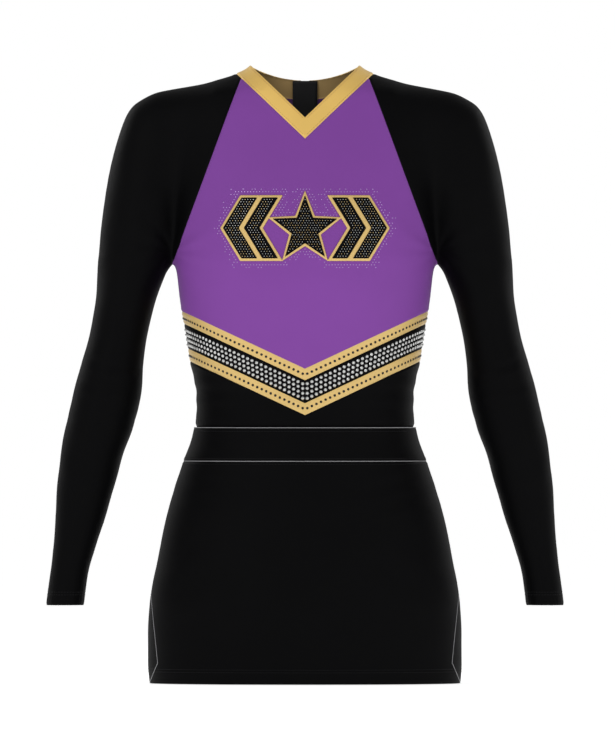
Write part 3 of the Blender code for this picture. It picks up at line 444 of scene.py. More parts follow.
def hashed(x, y):
    """A repeatable number from 0 to 1 for each pair."""
    value = np.sin(np.asarray(x) * 12.9898 + np.asarray(y) * 78.233) * 43758.5453
    return value - np.floor(value)


# ---------------------------------------------------------------- materials
class Shader:
    """A new material with short ways to add and join its nodes."""

    def __init__(self, name):
        self.material = bpy.data.materials.new(name)
        self.material.use_nodes = True
        self.nodes, self.links = self.material.node_tree.nodes, self.material.node_tree.links
        self.surface = self.nodes["Principled BSDF"].inputs

    def put(self, socket, value):
        if isinstance(value, bpy.types.NodeSocket):
            self.links.new(value, socket)
        else:
            socket.default_value = value

    def add(self, kind, **inputs):
        node = self.nodes.new(f"ShaderNode{kind}")
        for name, value in inputs.items():
            self.put(node.inputs[name], value)
        return node

    def finish(self, **inputs):
        """Sets inputs of the surface and returns the material."""
        for name, value in inputs.items():
            self.put(self.surface[name.replace("_", " ")], value)
        return self.material

    def math(self, operation, *values):
        node = self.nodes.new("ShaderNodeMath")
        node.operation = operation
        for k, value in enumerate(values):
            self.put(node.inputs[k], value)
        return node.outputs[0]

    def bump(self, strength, distance, height):
        node = self.add("Bump", Strength=strength, Distance=distance, Height=height)
        self.put(self.surface["Normal"], node.outputs[0])

    def tones(self, colour, vary, factor):
        """Base colour from darker to lighter by a share."""
        mix = self.nodes.new("ShaderNodeMix")
        mix.data_type = "RGBA"
        self.put(mix.inputs[6], (*[c * (1 - vary) for c in colour], 1))
        self.put(mix.inputs[7], (*[min(1.0, c * (1 + vary)) for c in colour], 1))
        self.put(mix.inputs[0], factor)
        self.put(self.surface["Base Color"], mix.outputs[2])


def cloth_material(name, colour, rough=0.7, pitch=0.9, bump=0.12, sheen=0.25, vary=0.06, metal=0.0,
                   sparkle=0.0, sheen_tint=None, specular=0.3):
    """A knit: a fine lattice of loops in the bump, slow colour variation, painted shade in the hollows of the
    loops, soft sheen.
    """
    shader = Shader(name)
    math_ = shader.math
    coords = shader.add("TexCoord").outputs["Object"]
    x, y, z = shader.add("SeparateXYZ", Vector=coords).outputs
    per_metre = 2 * math.pi / (pitch * MM)
    across = math_("ADD", x, y)
    rib = math_("SINE", math_("MULTIPLY", across, per_metre))
    course = math_("SINE", math_("MULTIPLY", z, per_metre * 1.25))
    loops = math_("MULTIPLY", rib, course)
    grain = shader.add("TexNoise", Scale=700.0, Detail=3.0, Vector=coords).outputs[0]
    shader.bump(bump, 0.0003, math_("ADD", loops, math_("MULTIPLY", grain, 1.2)))
    slow = shader.add("TexNoise", Scale=22.0, Detail=5.0, Vector=coords).outputs[0]
    # slow random tone, plus painted shade: darker in the hollows of the loops and lighter on their crests
    shader.tones(colour, vary, math_("ADD", math_("MULTIPLY", slow, 0.7), math_("MULTIPLY", loops, 0.15)))
    if sparkle:
        cells = shader.add("TexVoronoi", Scale=1100.0, Vector=coords)
        spread = math_("MULTIPLY", cells.outputs["Color"], sparkle)
        gloss = math_("ADD", spread, rough - sparkle / 2)
    else:
        gloss = math_("ADD", math_("MULTIPLY", grain, 0.12), rough - 0.06)
    if sheen_tint:
        shader.finish(Sheen_Tint=(*sheen_tint, 1))
    return shader.finish(Roughness=gloss, Metallic=metal, Specular_IOR_Level=specular,
                         Sheen_Weight=sheen, Sheen_Roughness=0.45)


def solid_material(name, colour, rough, metal=0.0, vary=0.1, scale=400.0, bump=0.0, coat=0.0, specular=0.5):
    """Metal, plastic or stone: fine surface grain and slight variation of tone and gloss."""
    shader = Shader(name)
    coords = shader.add("TexCoord").outputs["Object"]
    grain = shader.add("TexNoise", Scale=scale, Detail=4.0, Vector=coords).outputs[0]
    shader.tones(colour, vary, grain)
    gloss = shader.math("ADD", shader.math("MULTIPLY", grain, rough * 0.5), rough * 0.75)
    shader.bump(bump, 0.0002, grain)
    return shader.finish(Roughness=gloss, Metallic=metal, Coat_Weight=coat, Specular_IOR_Level=specular)


purple = cloth_material("purple_knit_cloth", (0.203, 0.054, 0.318), sheen=0.06,
                        sheen_tint=(0.6, 0.4, 0.8), specular=0.18)
purple_in = cloth_material("purple_lining", (0.13, 0.045, 0.2), rough=0.8, bump=0.2, sheen=0.1)
black = cloth_material("black_knit_cloth", (0.0016, 0.0016, 0.0019), rough=0.58, sheen=0.0, vary=0.25,
                       specular=0.045)
black_in = cloth_material("black_lining", (0.012, 0.012, 0.014), rough=0.85, bump=0.2, sheen=0.05, vary=0.2)
LAME = dict(sheen=0.1, sparkle=0.25, bump=0.2, vary=0.08)
gold = cloth_material("gold_lame", (0.83, 0.54, 0.140), rough=0.45, metal=0.25, **LAME)
gold_band = cloth_material("gold_lame_band", (0.70, 0.485, 0.175), rough=0.5, metal=0.2, **LAME)
gold_in = cloth_material("gold_lining", (0.45, 0.3, 0.12), rough=0.8, sheen=0.05)
sparkle_black = cloth_material("black_sparkle_cloth", (0.003, 0.003, 0.004), rough=0.5, sparkle=0.3,
                               bump=0.25, sheen=0.0, specular=0.03)
elastic_mat = cloth_material("woven_elastic", (0.02, 0.02, 0.022), rough=0.8, pitch=1.6, bump=0.5)
piping_mat = cloth_material("grey_cord", (0.27, 0.27, 0.28), rough=0.6, pitch=1.2, bump=0.35)
tape_mat = cloth_material("zip_tape_weave", (0.008, 0.008, 0.009), rough=0.75, pitch=0.7, bump=0.4)
THREAD = dict(pitch=0.5, bump=0.3)
black_thread = cloth_material("black_thread", (0.007, 0.007, 0.008), rough=0.6, sheen=0.0,
                              specular=0.15, **THREAD)
gold_thread = cloth_material("gold_thread", (0.6, 0.36, 0.11), rough=0.45, metal=0.2, **THREAD)
purple_thread = cloth_material("purple_thread", (0.24, 0.08, 0.36), rough=0.5, **THREAD)
crystal_mat = solid_material("crystal", (0.56, 0.56, 0.55), rough=0.12, metal=0.55, vary=0.18,
                             scale=160.0, coat=0.6)
jet_mat = solid_material("jet_stone", (0.004, 0.004, 0.005), rough=0.22, vary=0.2, coat=0.12, specular=0.3)
lilac_mat = solid_material("lilac_stone", (0.45, 0.27, 0.62), rough=0.15, metal=0.35, vary=0.3,
                           scale=220.0, coat=0.5)
SEQUIN = dict(rough=0.2, metal=0.4, scale=260.0)
pale_mat = solid_material("pale_sequin", (0.60, 0.62, 0.58), vary=0.35, **SEQUIN)
gilt_mat = solid_material("gilt_sequin", (0.72, 0.54, 0.25), vary=0.25, **SEQUIN)
zip_metal = solid_material("dark_plated_metal", (0.09, 0.09, 0.095), rough=0.28, metal=0.9, vary=0.2,
                           scale=900.0, bump=0.08)
coil_mat = solid_material("nylon_coil", (0.02, 0.02, 0.022), rough=0.35, vary=0.15, scale=600.0, bump=0.04)


def worn_on(obj, body, slot, *nodes):
    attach(obj, body)
    if nodes:
        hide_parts(*nodes)


class Surface:
    """The outside of a garment, to cut cloth from and to set trims on."""

    def __init__(self, points, faces):
        self.points, self.faces = points, faces
        self.normals = vertex_normals(points, faces)
        self.tree = BVHTree.FromPolygons(points.tolist(), faces.tolist())

    def seen(self, x, z, front=True, lift=0.0):
        """The point seen at x, z from the front or the back, and its outward normal."""
        start, way = Vector((x, -400.0 if front else 400.0, z)), Vector((0, 1 if front else -1, 0))
        hit, _, index, _ = self.tree.ray_cast(start, way)
        if hit is None:
            return None
        triangle = self.faces[index]
        normals, corners = self.normals[triangle], self.points[triangle]
        first, second = corners[1] - corners[0], corners[2] - corners[0]
        axes = np.stack([first, second, np.cross(first, second)], 1)
        share = np.linalg.solve(axes, np.array(hit) - corners[0])
        normal = normals[0] * (1 - share[0] - share[1]) + normals[1] * share[0] + normals[2] * share[1]
        normal = unit(normal)
        return np.array(hit) + normal * lift, normal

    def nearest(self, spot, lift):
        """The nearest point, and the normal of one corner of its triangle."""
        hit, _, index, _ = self.tree.find_nearest(Vector(spot))
        normal = self.normals[self.faces[index][0]]
        return np.array(hit) + normal * lift, normal

    def nearest_smooth(self, spot, lift):
        """The nearest point, and the normal shared out between its triangle's corners."""
        hit, _, index, _ = self.tree.find_nearest(Vector(spot))
        triangle = self.faces[index]
        share = 1.0 / (norm(self.points[triangle] - np.array(hit), axis=1) + 0.05)
        normal = unit((self.normals[triangle] * share[:, None]).sum(0))
        return np.array(hit) + normal * lift, normal


# ---------------------------------------------------------------- the surface of the top
RIDGE_X = np.arange(78.0, 190.0, 4.0)
FLANK_Z = np.arange(476.0, 648.0, 4.0)


def crest(along, values, stops):
    """The highest value close to each stop."""
    return np.array([values[np.abs(along - stop) < 2.5].max(initial=0.0) for stop in stops])


def ridge(points):
    """The highest point of the shoulders at each distance from the midline."""
    high = points[points[:, 2] > 560]
    return crest(np.abs(high[:, 0]), high[:, 2], RIDGE_X)


def flank(points):
    """The widest point of the sleeves at each height of the shoulder."""
    return crest(points[:, 2], np.abs(points[:, 0]), FLANK_Z)


def lost_height(was, now):
    """What smoothing took off a profile, without its short steps."""
    kernel = np.array([1.0, 2.0, 3.0, 4.0, 3.0, 2.0, 1.0]) / 16.0
    return np.convolve(np.pad(np.clip(was - now, 0.0, 9.0), 3, mode="edge"), kernel, mode="valid")


def joined_top():
    """Torso and sleeves made one skin by voxels, as points and triangles."""
    rings = [torso_ring((*row, 0.0, 2.15), z, 160) for z, *row in TAIL]
    for z in (*np.arange(296.0, 602.0, 3.0), *np.arange(602.0, 706.0, 1.0)):
        rings.append(torso_ring(station_at(TOP_STATIONS, z), z, 160))
    parts = [skin(rings)]
    for side, _ in SIDES:
        levels = (*np.arange(643.5, 620.0, -1.5), *np.arange(619.5, 78.0, -3.0))
        points, faces = skin([sleeve_ring(z, 80, side) for z in levels])
        parts.append((points, faces if side < 0 else faces[:, ::-1]))
    offset, all_faces = 0, []
    for points, faces in parts:
        all_faces.append(faces + offset)
        offset += len(points)
    raw = build("raw_top", np.concatenate([points for points, _ in parts]), np.concatenate(all_faces), [])
    # every part faces outwards before the voxels join them
    face_outwards(raw)
    step = raw.modifiers.new("voxels", "REMESH")
    step.mode = "VOXEL"
    step.voxel_size = 2.8 * MM
    bpy.context.view_layer.update()
    mesh = raw.evaluated_get(bpy.context.evaluated_depsgraph_get()).to_mesh()
    mesh.calc_loop_triangles()
    points = np.empty(len(mesh.vertices) * 3, np.float32)
    mesh.vertices.foreach_get("co", points)
    faces = np.empty(len(mesh.loop_triangles) * 3, np.int32)
    mesh.loop_triangles.foreach_get("vertices", faces)
    points, faces = points.reshape(-1, 3).astype(float) / MM, faces.reshape(-1, 3).astype(int)
    bpy.data.objects.remove(raw)
    return points, faces


def top_surface():
    """The joined top, smoothed most round the shoulder and then brought back to full size."""
    points, faces = joined_top()
    side_x, y, z = np.abs(points[:, 0]), points[:, 1], points[:, 2]
    joint = smoothstep((side_x - 96) / 24) * smoothstep((z - 445) / 20) * smoothstep((222 - side_x) / 14)
    joint *= 1 - 0.9 * bell(z - 464.0, 17.0) * bell(y, 26.0)
    cap = joint * smoothstep((z - 535.0) / 40.0)
    top_was, side_was = ridge(points), flank(points)
    for share, rounds in ((0.5 * np.ones(len(points)), 4), (0.6 * joint, 45), (0.65 * cap, 110)):
        points = relax(points, faces, share, rounds)
    lost = np.interp(np.abs(points[:, 0]), RIDGE_X, lost_height(top_was, ridge(points)))
    points[:, 2] += lost * smoothstep((points[:, 2] - 575.0) / 55.0)
    lost = np.interp(points[:, 2], FLANK_Z, lost_height(side_was, flank(points)))
    points[:, 0] += np.sign(points[:, 0]) * lost * smoothstep((np.abs(points[:, 0]) - 155.0) / 45.0)
    z = points[:, 2]
    ease = (0.45 + 0.5 * bell(z - 390.0, 70.0))[:, None] * smoothstep((z - 288) / 12)[:, None]
    points += vertex_normals(points, faces) * ease
    return points, faces


def body_edge_x(z):
    """Where the body ends and the sleeve begins, as a distance from the midline."""
    return np.where(z >= 455.0, raglan_x(z), raglan_x(455.0) + 0.05 * (455.0 - z))


def top_fields(points):
    """Signed distances, as seen from the front or back, that the seams of the top follow."""
    side_x, y, z = np.abs(points[:, 0]), points[:, 1], points[:, 2]
    front = y < 1e-6
    lean = np.where(front, NECK_LEAN_FRONT, NECK_LEAN_BACK)
    found = {"x": points[:, 0], "y": y, "z": z, "side_x": side_x}
    for k in range(4):
        found[f"chevron{k}"] = z - (CHEVRON_Z[k] + CHEVRON_RISE * np.minimum(side_x, 150.0))
    found["raglan"] = (side_x - body_edge_x(z)) * 0.938
    for name, edge in (("neck_out", NECK_OUT), ("neck_in", NECK_IN)):
        level = np.where(front, neck_z(edge, side_x, True), neck_z(edge, side_x, False))
        found[name] = (z - level) * lean
    along = (side_x - ELBOW[0]) * math.sin(ARM_TILT) - (z - ELBOW[1]) * math.cos(ARM_TILT)
    found["arm"] = np.where((side_x < 151.0) & (z < 440.0), -1000.0, along)
    return found


def top_relief(points):
    """Height of folds and seams over the top."""
    at = top_fields(points)
    x, y, z, side_x = at["x"], at["y"], at["z"], at["side_x"]
    # pulls fanning out from the armpit
    across, up = side_x - 146.0, z - 474.0
    reach = np.hypot(across, up)
    fan = np.cos(9.0 * np.arctan2(up, across) + 0.02 * reach)
    rise = 0.85 * np.exp(-reach / 46.0) * fan * smoothstep(reach / 22.0)
    # creases at the elbow, then slow folds below and above it
    arm = at["arm"]
    on_arm = smoothstep((side_x - 151.0) / 6.0) * (z < 470)
    wander = arm + 4.5 * np.sin(y / 12.0 + 1.1) + 2.6 * np.sin(side_x / 8.0 + z / 23.0)
    crease = wave(wander, 23.0) + 0.5 * wave(wander, 13.7, 1.9)
    rise += on_arm * 0.55 * bell(arm - 3.0, 24.0) * crease * smoothstep((4.0 - y) / 34.0)
    rise += on_arm * 0.30 * bell(arm - 95.0, 55.0) * wave(
        arm * 0.55 + y * 0.8 + side_x * 0.3, 41.0, 0.6 * np.sin(arm / 19.0)
    )
    rise += on_arm * 0.30 * bell(arm + 105.0, 60.0) * wave(
        arm * 0.5 - y * 0.7 + 5, 47.0, 0.7 * np.sin(z / 21.0)
    )
    # gathers round the cuff
    turn = np.arctan2(y, side_x - CUFF_X)
    above_cuff = z - CUFF_Z
    fade = np.exp(-np.maximum(above_cuff, 0) / 11.0)
    rise += on_arm * 0.35 * fade * np.cos(22 * turn) * smoothstep(above_cuff / 5.0)
    # level folds at the sides of the waist, and a slow unevenness everywhere
    fold = wave(z + 0.12 * side_x + 5 * np.sin(side_x / 31.0), 19.0)
    rise += (1 - on_arm) * 0.35 * bell(z - 318.0, 34.0) * fold * smoothstep((side_x - 40) / 60)
    rise += 0.25 * np.sin(x / 27.0 + 1.3) * np.sin(z / 33.0 + 0.6) * np.sin(y / 29.0 + 2.0)
    # seams: chevrons, raglans, neck band, sides
    on_body, neck, is_back = at["raglan"] < 0, at["neck_out"], y > 0
    for k in range(4):
        rise += (on_body & (z < 430)) * seam(at[f"chevron{k}"] * 0.905)
    rise += ((z > 466) & (neck < 1.5)) * seam(at["raglan"])
    rise += seam(neck)
    rise += on_body * seam(y) * smoothstep((ARMPIT_Z + 2 - z) / 6.0)
    rise += (neck > 0) * 0.35 * smoothstep(neck / 1.6)
    rise += (at["neck_in"] > -3.0) * -0.45 * bell(at["neck_in"], 1.2)
    # turned edges beside the zip, the seam of the tail, and the cuff hem
    rise += (is_back & on_body & (z > TOP_ZIP_LOW_Z - 1)) * -0.4 * bell(side_x - ZIP_CHANNEL, 1.3)
    rise += (is_back & (z < TOP_ZIP_LOW_Z)) * seam(x)
    rise += on_arm * (-0.35 * bell(above_cuff, 1.0) - 0.12 * bell(above_cuff - CUFF_HEM, 0.9))
    return rise


TOP_CUTS = (
    ("x", (0.0, -1.1, 1.1)), ("z", (TOP_ZIP_LOW_Z,)), ("y", (0.0, -1.0, 1.0)),
    ("side_x", (ZIP_CHANNEL, ZIP_CHANNEL + 1.2, ZIP_CHANNEL + 3.0)),
    *((f"chevron{k}", SEAM_CUTS) for k in range(4)), ("raglan", SEAM_CUTS),
    ("neck_out", SEAM_CUTS[:4]), ("neck_in", (-2.4, -1.0, 0.0)), ("arm", (SLEEVE_JOIN,)),
    ("z", (TAIL_LOW_Z + 0.2, CUFF_Z, CUFF_Z + 1.2, CUFF_Z + CUFF_HEM)),
)
flat_p, top_faces = split_along(*top_surface(), top_fields, TOP_CUTS)
top = Surface(flat_p + vertex_normals(flat_p, top_faces) * top_relief(flat_p)[:, None], top_faces)

# ---------------------------------------------------------------- the panels of the top
middle = flat_p[top_faces].mean(1)
at = top_fields(middle)
torso = at["raglan"] < 0
inside = (at["neck_in"] < 0) & (at["z"] > np.where(torso, TAIL_LOW_Z + 0.2, CUFF_Z))
neck_band = inside & (at["neck_out"] > 0) & (at["z"] > 560)
cloth = inside & ~neck_band
is_front = middle[:, 1] < 0
is_back = (middle[:, 1] > 0) & ((at["side_x"] > ZIP_CHANNEL) | (at["z"] < TOP_ZIP_LOW_Z))


def between_chevrons(k):
    """Body triangles under chevron line k - 1 and over line k."""
    chosen = torso & cloth
    if k > 0:
        chosen = chosen & (at[f"chevron{k - 1}"] < 0)
    if k < 4:
        chosen = chosen & (at[f"chevron{k}"] > 0)
    return chosen


# front name, back name, slot, cloth and lining, triangles; from the chest down, then the neck
for front_name, back_name, slot, mats, row in (
    ("front_panel", "back_panel", "purple_knit", (purple, purple_in), between_chevrons(0)),
    ("chevron_upper_front", "chevron_upper_back", "gold_trim", (gold_band, gold_in), between_chevrons(1)),
    ("crystal_band_front", "crystal_band_back", "crystal", (black, black_in), between_chevrons(2)),
    ("chevron_lower_front", "chevron_lower_back", "gold_trim", (gold_band, gold_in), between_chevrons(3)),
    ("waist_panel_front", "waist_panel_back", "black_knit", (black, black_in), between_chevrons(4)),
    ("neck_band_front", "neck_band_back", "gold_trim", (gold, gold_in), neck_band),
):
    panels = [(front_name, row & is_front)]
    for side, side_name in SIDES:
        panels.append((f"{back_name}_{side_name}", row & is_back & (middle[:, 0] * side > 0)))
    for node, chosen in panels:
        worn_on(shell(f"{node}_cloth", top, chosen, TOP_THICK, mats), "top", slot, node)


def seam_distance(points):
    """Distance from the raglan seam, seen from the front."""
    high, low = np.array([70.2, 665.7]), np.array([143.0, 468.6])
    way = unit(low - high)
    offset = np.stack([np.abs(points[:, 0]), points[:, 2]], 1) - high
    along = np.clip(offset @ way, 0, norm(low - high))
    return norm(offset - along[:, None] * way, axis=1)


def shoulder_weight(points):
    """How far each point would turn with the upper sleeve, as a weight: none on the raglan seam, all down the
    arm.
    """
    z = points[:, 2]
    across, up = np.abs(points[:, 0]) - SHOULDER[0], z - SHOULDER[1]
    angle = np.degrees(np.arctan2(up, across))
    angle = np.where(angle < -90, angle + 360, angle)
    over = 1 - smoothstep((np.where(angle > 200, -60, angle) + 25) / 160)
    away = smoothstep(np.hypot(across, up) / 26.0)
    over = 0.55 * (1 - away) + over * away
    reach = 23.0 + 52.0 * smoothstep((z - 464.0) / 90.0)
    part = np.clip(seam_distance(points) / reach, 0.0, 1.0)
    under = 0.45 * smoothstep(part) + 0.55 * part * (2 - part)
    outer = smoothstep((across + 22) / 50.0)
    full = smoothstep((442.0 - z) / 26.0)
    return over * (under * (1 - outer) + outer) * (1 - full) + full


for side, side_name in SIDES:
    arm = ~torso & cloth & (middle[:, 0] * side > 0)
    sleeve_mats = (black, black_in)
    upper = shell(f"raglan_sleeve_{side_name}", top, arm & (at["arm"] < SLEEVE_JOIN), TOP_THICK, sleeve_mats)
    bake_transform(upper)
    spots = np.array([v.co for v in upper.data.vertices]) / MM
    weights = shoulder_weight(spots).astype(np.float32)
    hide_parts(f"raglan_cap_{side_name}", f"sleeve_upper_{side_name}")
    lower = shell(f"long_sleeve_{side_name}", top, arm & (at["arm"] > SLEEVE_JOIN), TOP_THICK, sleeve_mats)
    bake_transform(lower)
    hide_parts(f"sleeve_lower_{side_name}")


# ---------------------------------------------------------------- crystals and studs on the chevron
STONE_PITCH = 5.0
CRYSTAL_ROWS = (-8.25, -2.75, 2.75, 8.25)


def along_chevron(height, front, start):
    """Columns at every pitch of cloth from the midline to the side seam, on one chevron line."""
    x, path = 0.0, []
    for t in np.linspace(0.0, math.pi / 2, 900):
        z = height + CHEVRON_RISE * x
        half_width, front_depth, back_depth, hollow, power = station_at(TOP_STATIONS, z)
        x = half_width * math.sin(t) ** (2 / power)
        if front:
            y = -front_depth * math.cos(t) ** (2 / power)
        else:
            spine = hollow * math.exp(-((x / SPINE_WIDTH) ** 2)) * math.sqrt(math.cos(t))
            y = back_depth * math.cos(t) ** (2 / power) - spine
        path.append((x, y, height + CHEVRON_RISE * x))
    path = np.array(path)
    arc = arc_lengths(path[:, :2])
    return interpolated(np.arange(start, arc[-1] - 2.3, STONE_PITCH), arc, path)


for front in (True, False):
    start = STONE_PITCH / 2 if front else ZIP_CHANNEL + 3.4
    # name, chevron lines above and below, offsets of the rows, stone, material, slot
    for label, line, offsets, shape, mat, slot in (
        ("crystals", 1, CRYSTAL_ROWS, gem(1.88, 1.2), crystal_mat, "crystal"),
        ("studs_upper", 0, (0.0,), gem(1.5, 0.8), jet_mat, "gold_trim"),
        ("studs_lower", 2, (0.0,), gem(1.5, 0.8), jet_mat, "gold_trim"),
    ):
        height = (CHEVRON_Z[line] + CHEVRON_Z[line + 1]) / 2
        found = [
            top.nearest_smooth((side * x, y, z + offset), -0.05)
            for x, y, z in along_chevron(height, front, start) for side, _ in SIDES for offset in offsets
        ]
        spots, outs = np.array([spot for spot, _ in found]), np.array([out for _, out in found])
        spin = hashed(spots[:, 0], spots[:, 2]) * 6.28
        name = f"{label}_{'front' if front else 'back'}"
        worn_on(scatter(name, spots, outs, shape, [mat], spin), "top", slot)

# ---------------------------------------------------------------- chest emblem
# a star between chevrons that point outwards, seen from the front as x, z
EMBLEM_Z = 499.4
STAR_OUT, STAR_IN = 37.0, 15.2
ARROW_TIPS = (("outer", 89.0), ("inner", 66.4))
ARROW_BAR, ARROW_REACH, ARROW_HALF = 17.0, 20.0, 33.0  # width, sweep of the arms, half height


def star(radius, inner):
    points = []
    for k in range(10):
        reach = radius if k % 2 == 0 else inner
        angle = math.pi * k / 5
        points.append((reach * math.sin(angle), EMBLEM_Z - 1.5 + reach * math.cos(angle)))
    return points[::-1]


def arrow(tip, side, grow=0.0):
    slope = ARROW_REACH / ARROW_HALF
    along = grow * math.hypot(1.0, slope)
    half = ARROW_HALF + grow
    outer, inner = tip + along, tip - ARROW_BAR - along
    points = [
        (outer, EMBLEM_Z), (outer - slope * half, EMBLEM_Z + half), (inner - slope * half, EMBLEM_Z + half),
        (inner, EMBLEM_Z), (inner - slope * half, EMBLEM_Z - half), (outer - slope * half, EMBLEM_Z - half),
    ]
    return points if side > 0 else [(-x, z) for x, z in points[::-1]]


def polygon_distance(points, outline):
    """Signed distance from an outline, positive outside."""
    corners = np.array(outline)
    best = np.full(len(points), 1e9)
    crossed = np.zeros(len(points), bool)
    for start, end in zip(corners, np.roll(corners, -1, 0)):
        way = end - start
        t = np.clip(((points - start) @ way) / (way @ way), 0, 1)
        best = np.minimum(best, norm(points - start - t[:, None] * way, axis=1))
        level = (start[1] > points[:, 1]) != (end[1] > points[:, 1])
        with np.errstate(divide="ignore", invalid="ignore"):
            cross_x = start[0] + (points[:, 1] - start[1]) * way[0] / way[1]
        crossed ^= level & (points[:, 0] < cross_x)
    return np.where(crossed, -best, best)


def loops_distance(points, loops):
    """Signed distance from a shape with an outer loop and holes, positive outside."""
    each = [polygon_distance(points, loop) for loop in loops]
    nearest = np.min([np.abs(distance) for distance in each], axis=0)
    odd = np.sum([distance < 0 for distance in each], axis=0) % 2 == 1
    return np.where(odd, -nearest, nearest)


def rounded(outline, radius=1.0, step=1.0):
    """The outline with its corners eased, as closely spaced points."""
    corners = [np.array(v, float) for v in outline]
    eased = []
    for k, corner in enumerate(corners):
        back, ahead = corners[k - 1] - corner, corners[(k + 1) % len(corners)] - corner
        back_len, ahead_len = norm(back), norm(ahead)
        cut = min(radius, 0.4 * back_len, 0.4 * ahead_len)
        start, end = corner + back / back_len * cut, corner + ahead / ahead_len * cut
        for t in (0, 0.25, 0.5, 0.75, 1.0):
            eased.append((1 - t) ** 2 * start + 2 * t * (1 - t) * corner + t * t * end)
    dense = []
    for start, end in zip(eased, eased[1:] + eased[:1]):
        count = max(1, int(norm(end - start) / step))
        dense += [start + (end - start) * t / count for t in range(count)]
    return dense


def points_and_edges(loops):
    points, edges = [], []
    for loop in loops:
        base = len(points)
        points += list(loop)
        edges += [(base + k, base + (k + 1) % len(loop)) for k in range(len(loop))]
    return points, edges


def triangulated(points, edges, is_inside):
    """Flat points and counter-clockwise triangles, kept where their middles are inside."""
    out = delaunay_2d_cdt([Vector(v) for v in points], edges, [], 0, 1e-4)
    flat = np.array([tuple(v) for v in out[0]])
    faces = np.array([face for face in out[2] if len(face) == 3])
    faces = faces[is_inside(flat[faces].mean(1))]
    first, second = flat[faces[:, 1]] - flat[faces[:, 0]], flat[faces[:, 2]] - flat[faces[:, 0]]
    turn = first[:, 0] * second[:, 1] - first[:, 1] * second[:, 0]
    return flat, np.where((turn > 0)[:, None], faces, faces[:, ::-1])


def merged_loops(outlines):
    """The loops round overlapping shapes, by walking the border of their triangles."""
    flat, faces = triangulated(
        *points_and_edges(outlines),
        lambda spots: np.any([polygon_distance(spots, outline) < 0 for outline in outlines], axis=0),
    )
    border = dict(border_edges(faces).tolist())
    loops = []
    while border:
        start, here = next(iter(border.items()))
        loop = [start]
        del border[start]
        while here != start and here in border:
            loop.append(here)
            here = border.pop(here)
        loops.append([tuple(flat[k]) for k in loop])
    return loops


def applique(name, loops, low, high, mat, pillow, step=2.2):
    """A padded patch on the chest, from low to high off the cloth and lower at its edge."""
    rings = [rounded(loop) for loop in loops]
    spots, edges = points_and_edges(rings)
    left, bottom = np.array(spots).min(0)
    right, ceiling = np.array(spots).max(0)
    grid_x, grid_z = np.meshgrid(np.arange(left, right, step), np.arange(bottom, ceiling, step))
    grid = np.stack([grid_x.ravel(), grid_z.ravel()], 1)
    spots += list(grid[loops_distance(grid, rings) < -1.6])
    # a row just inside each edge carries the roll of the padding
    for ring in rings:
        ring = np.array(ring)
        way = unit(np.roll(ring, -1, 0) - np.roll(ring, 1, 0))
        for sign in (1, -1):
            row = ring + sign * 0.8 * np.stack([-way[:, 1], way[:, 0]], 1)
            spots += list(row[loops_distance(row, rings) < -0.7])
    flat, faces = triangulated(spots, edges, lambda middles: loops_distance(middles, rings) < 0)
    outer, inner = [], []
    for (x, z), depth in zip(flat, -loops_distance(flat, rings)):
        spot, normal = top.seen(x, z)
        outer.append(spot + normal * (high - pillow * math.exp(-max(depth, 0) / 0.7)))
        inner.append(spot + normal * low)
    return build(name, np.array(outer + inner), closed_sheet(faces, len(flat))[0], [mat])


def lattice(columns, rows, step):
    """Indices and places of staggered spots round the emblem's middle."""
    for i in range(-columns, columns + 1):
        for j in range(-rows, rows + 1):
            yield i, j, (i + 0.5 * (j % 2)) * step, EMBLEM_Z + j * step * 0.866


emblem_parts = [("star", star(STAR_OUT, STAR_IN))]
grown = [star(STAR_OUT + 5.6, STAR_IN + 3.0)]
for place, tip in ARROW_TIPS:
    for side, side_name in SIDES:
        emblem_parts.append((f"{place}_{side_name}", arrow(tip, side)))
        grown.append(arrow(tip, side, grow=2.9))
backing = merged_loops(grown)
worn_on(applique("emblem_backing_cloth", backing, -0.3, 1.6, gold_band, pillow=0.6),
        "top", "gold_trim", "emblem_backing")

sequins, sequin_kinds = [], []
for label, outline in emblem_parts:
    patch = applique(f"emblem_{label}_cloth", [outline], 1.0, 2.5, sparkle_black, pillow=0.5)
    worn_on(patch, "top", "black_sparkle", f"emblem_{label}")
    for i, j, x, z in lattice(37, 16, 2.95):
        if polygon_distance(np.array([[x, z]]), outline)[0] < -1.5:
            sequins.append(top.seen(x, z, lift=2.45))
            sequin_kinds.append(1 if hashed(i, j) > 0.6 else 0)
worn_on(scatter("emblem_sequins", *zip(*sequins), gem(0.5, 0.36, sides=6, sink=0.15),
                [pale_mat, gilt_mat], which=sequin_kinds), "top", "crystal")

# lilac stones round the emblem: nearest and farthest from its outline, share of places filled
HALO = ((1.6, 4.4, 1.0), (4.4, 8.0, 0.42), (8.0, 13.0, 0.16))
outer_loop = max(backing, key=len)
halo = []
for i, j, x, z in lattice(40, 20, 3.3):
    gap = polygon_distance(np.array([[x, z]]), outer_loop)[0]
    chance = next((share for near, far, share in HALO if near < gap < far or gap == near > 1.6), 0.0)
    if abs(x) < 100.5 and abs(z - EMBLEM_Z) < 44.0 and hashed(i * 1.7 + 3, j * 2.3 + 1) < chance:
        halo.append(top.seen(x, z, lift=-0.02))
worn_on(scatter("emblem_scatter", *zip(*halo), gem(0.7, 0.45, sides=6, sink=0.2), [lilac_mat]),
        "top", "crystal")


# ---------------------------------------------------------------- stitching
STITCH_LENGTH, STITCH_PITCH, STITCH_RADIUS = 2.5, 3.2, 0.27


def stitch_shape(sides=6):
    """One stitch along X, thin at both ends. Its side faces turn inwards."""
    half, radius = STITCH_LENGTH / 2, STITCH_RADIUS
    points = []
    for x, ring in ((-half, radius * 0.45), (-half / 2, radius), (half / 2, radius), (half, radius * 0.45)):
        for k in range(sides):
            angle = 2 * math.pi * k / sides
            points.append((x, ring * math.cos(angle), ring * math.sin(angle)))
    faces = prism(4, sides)
    return np.array(points), [face[::-1] for face in faces[:-2]] + faces[-2:]


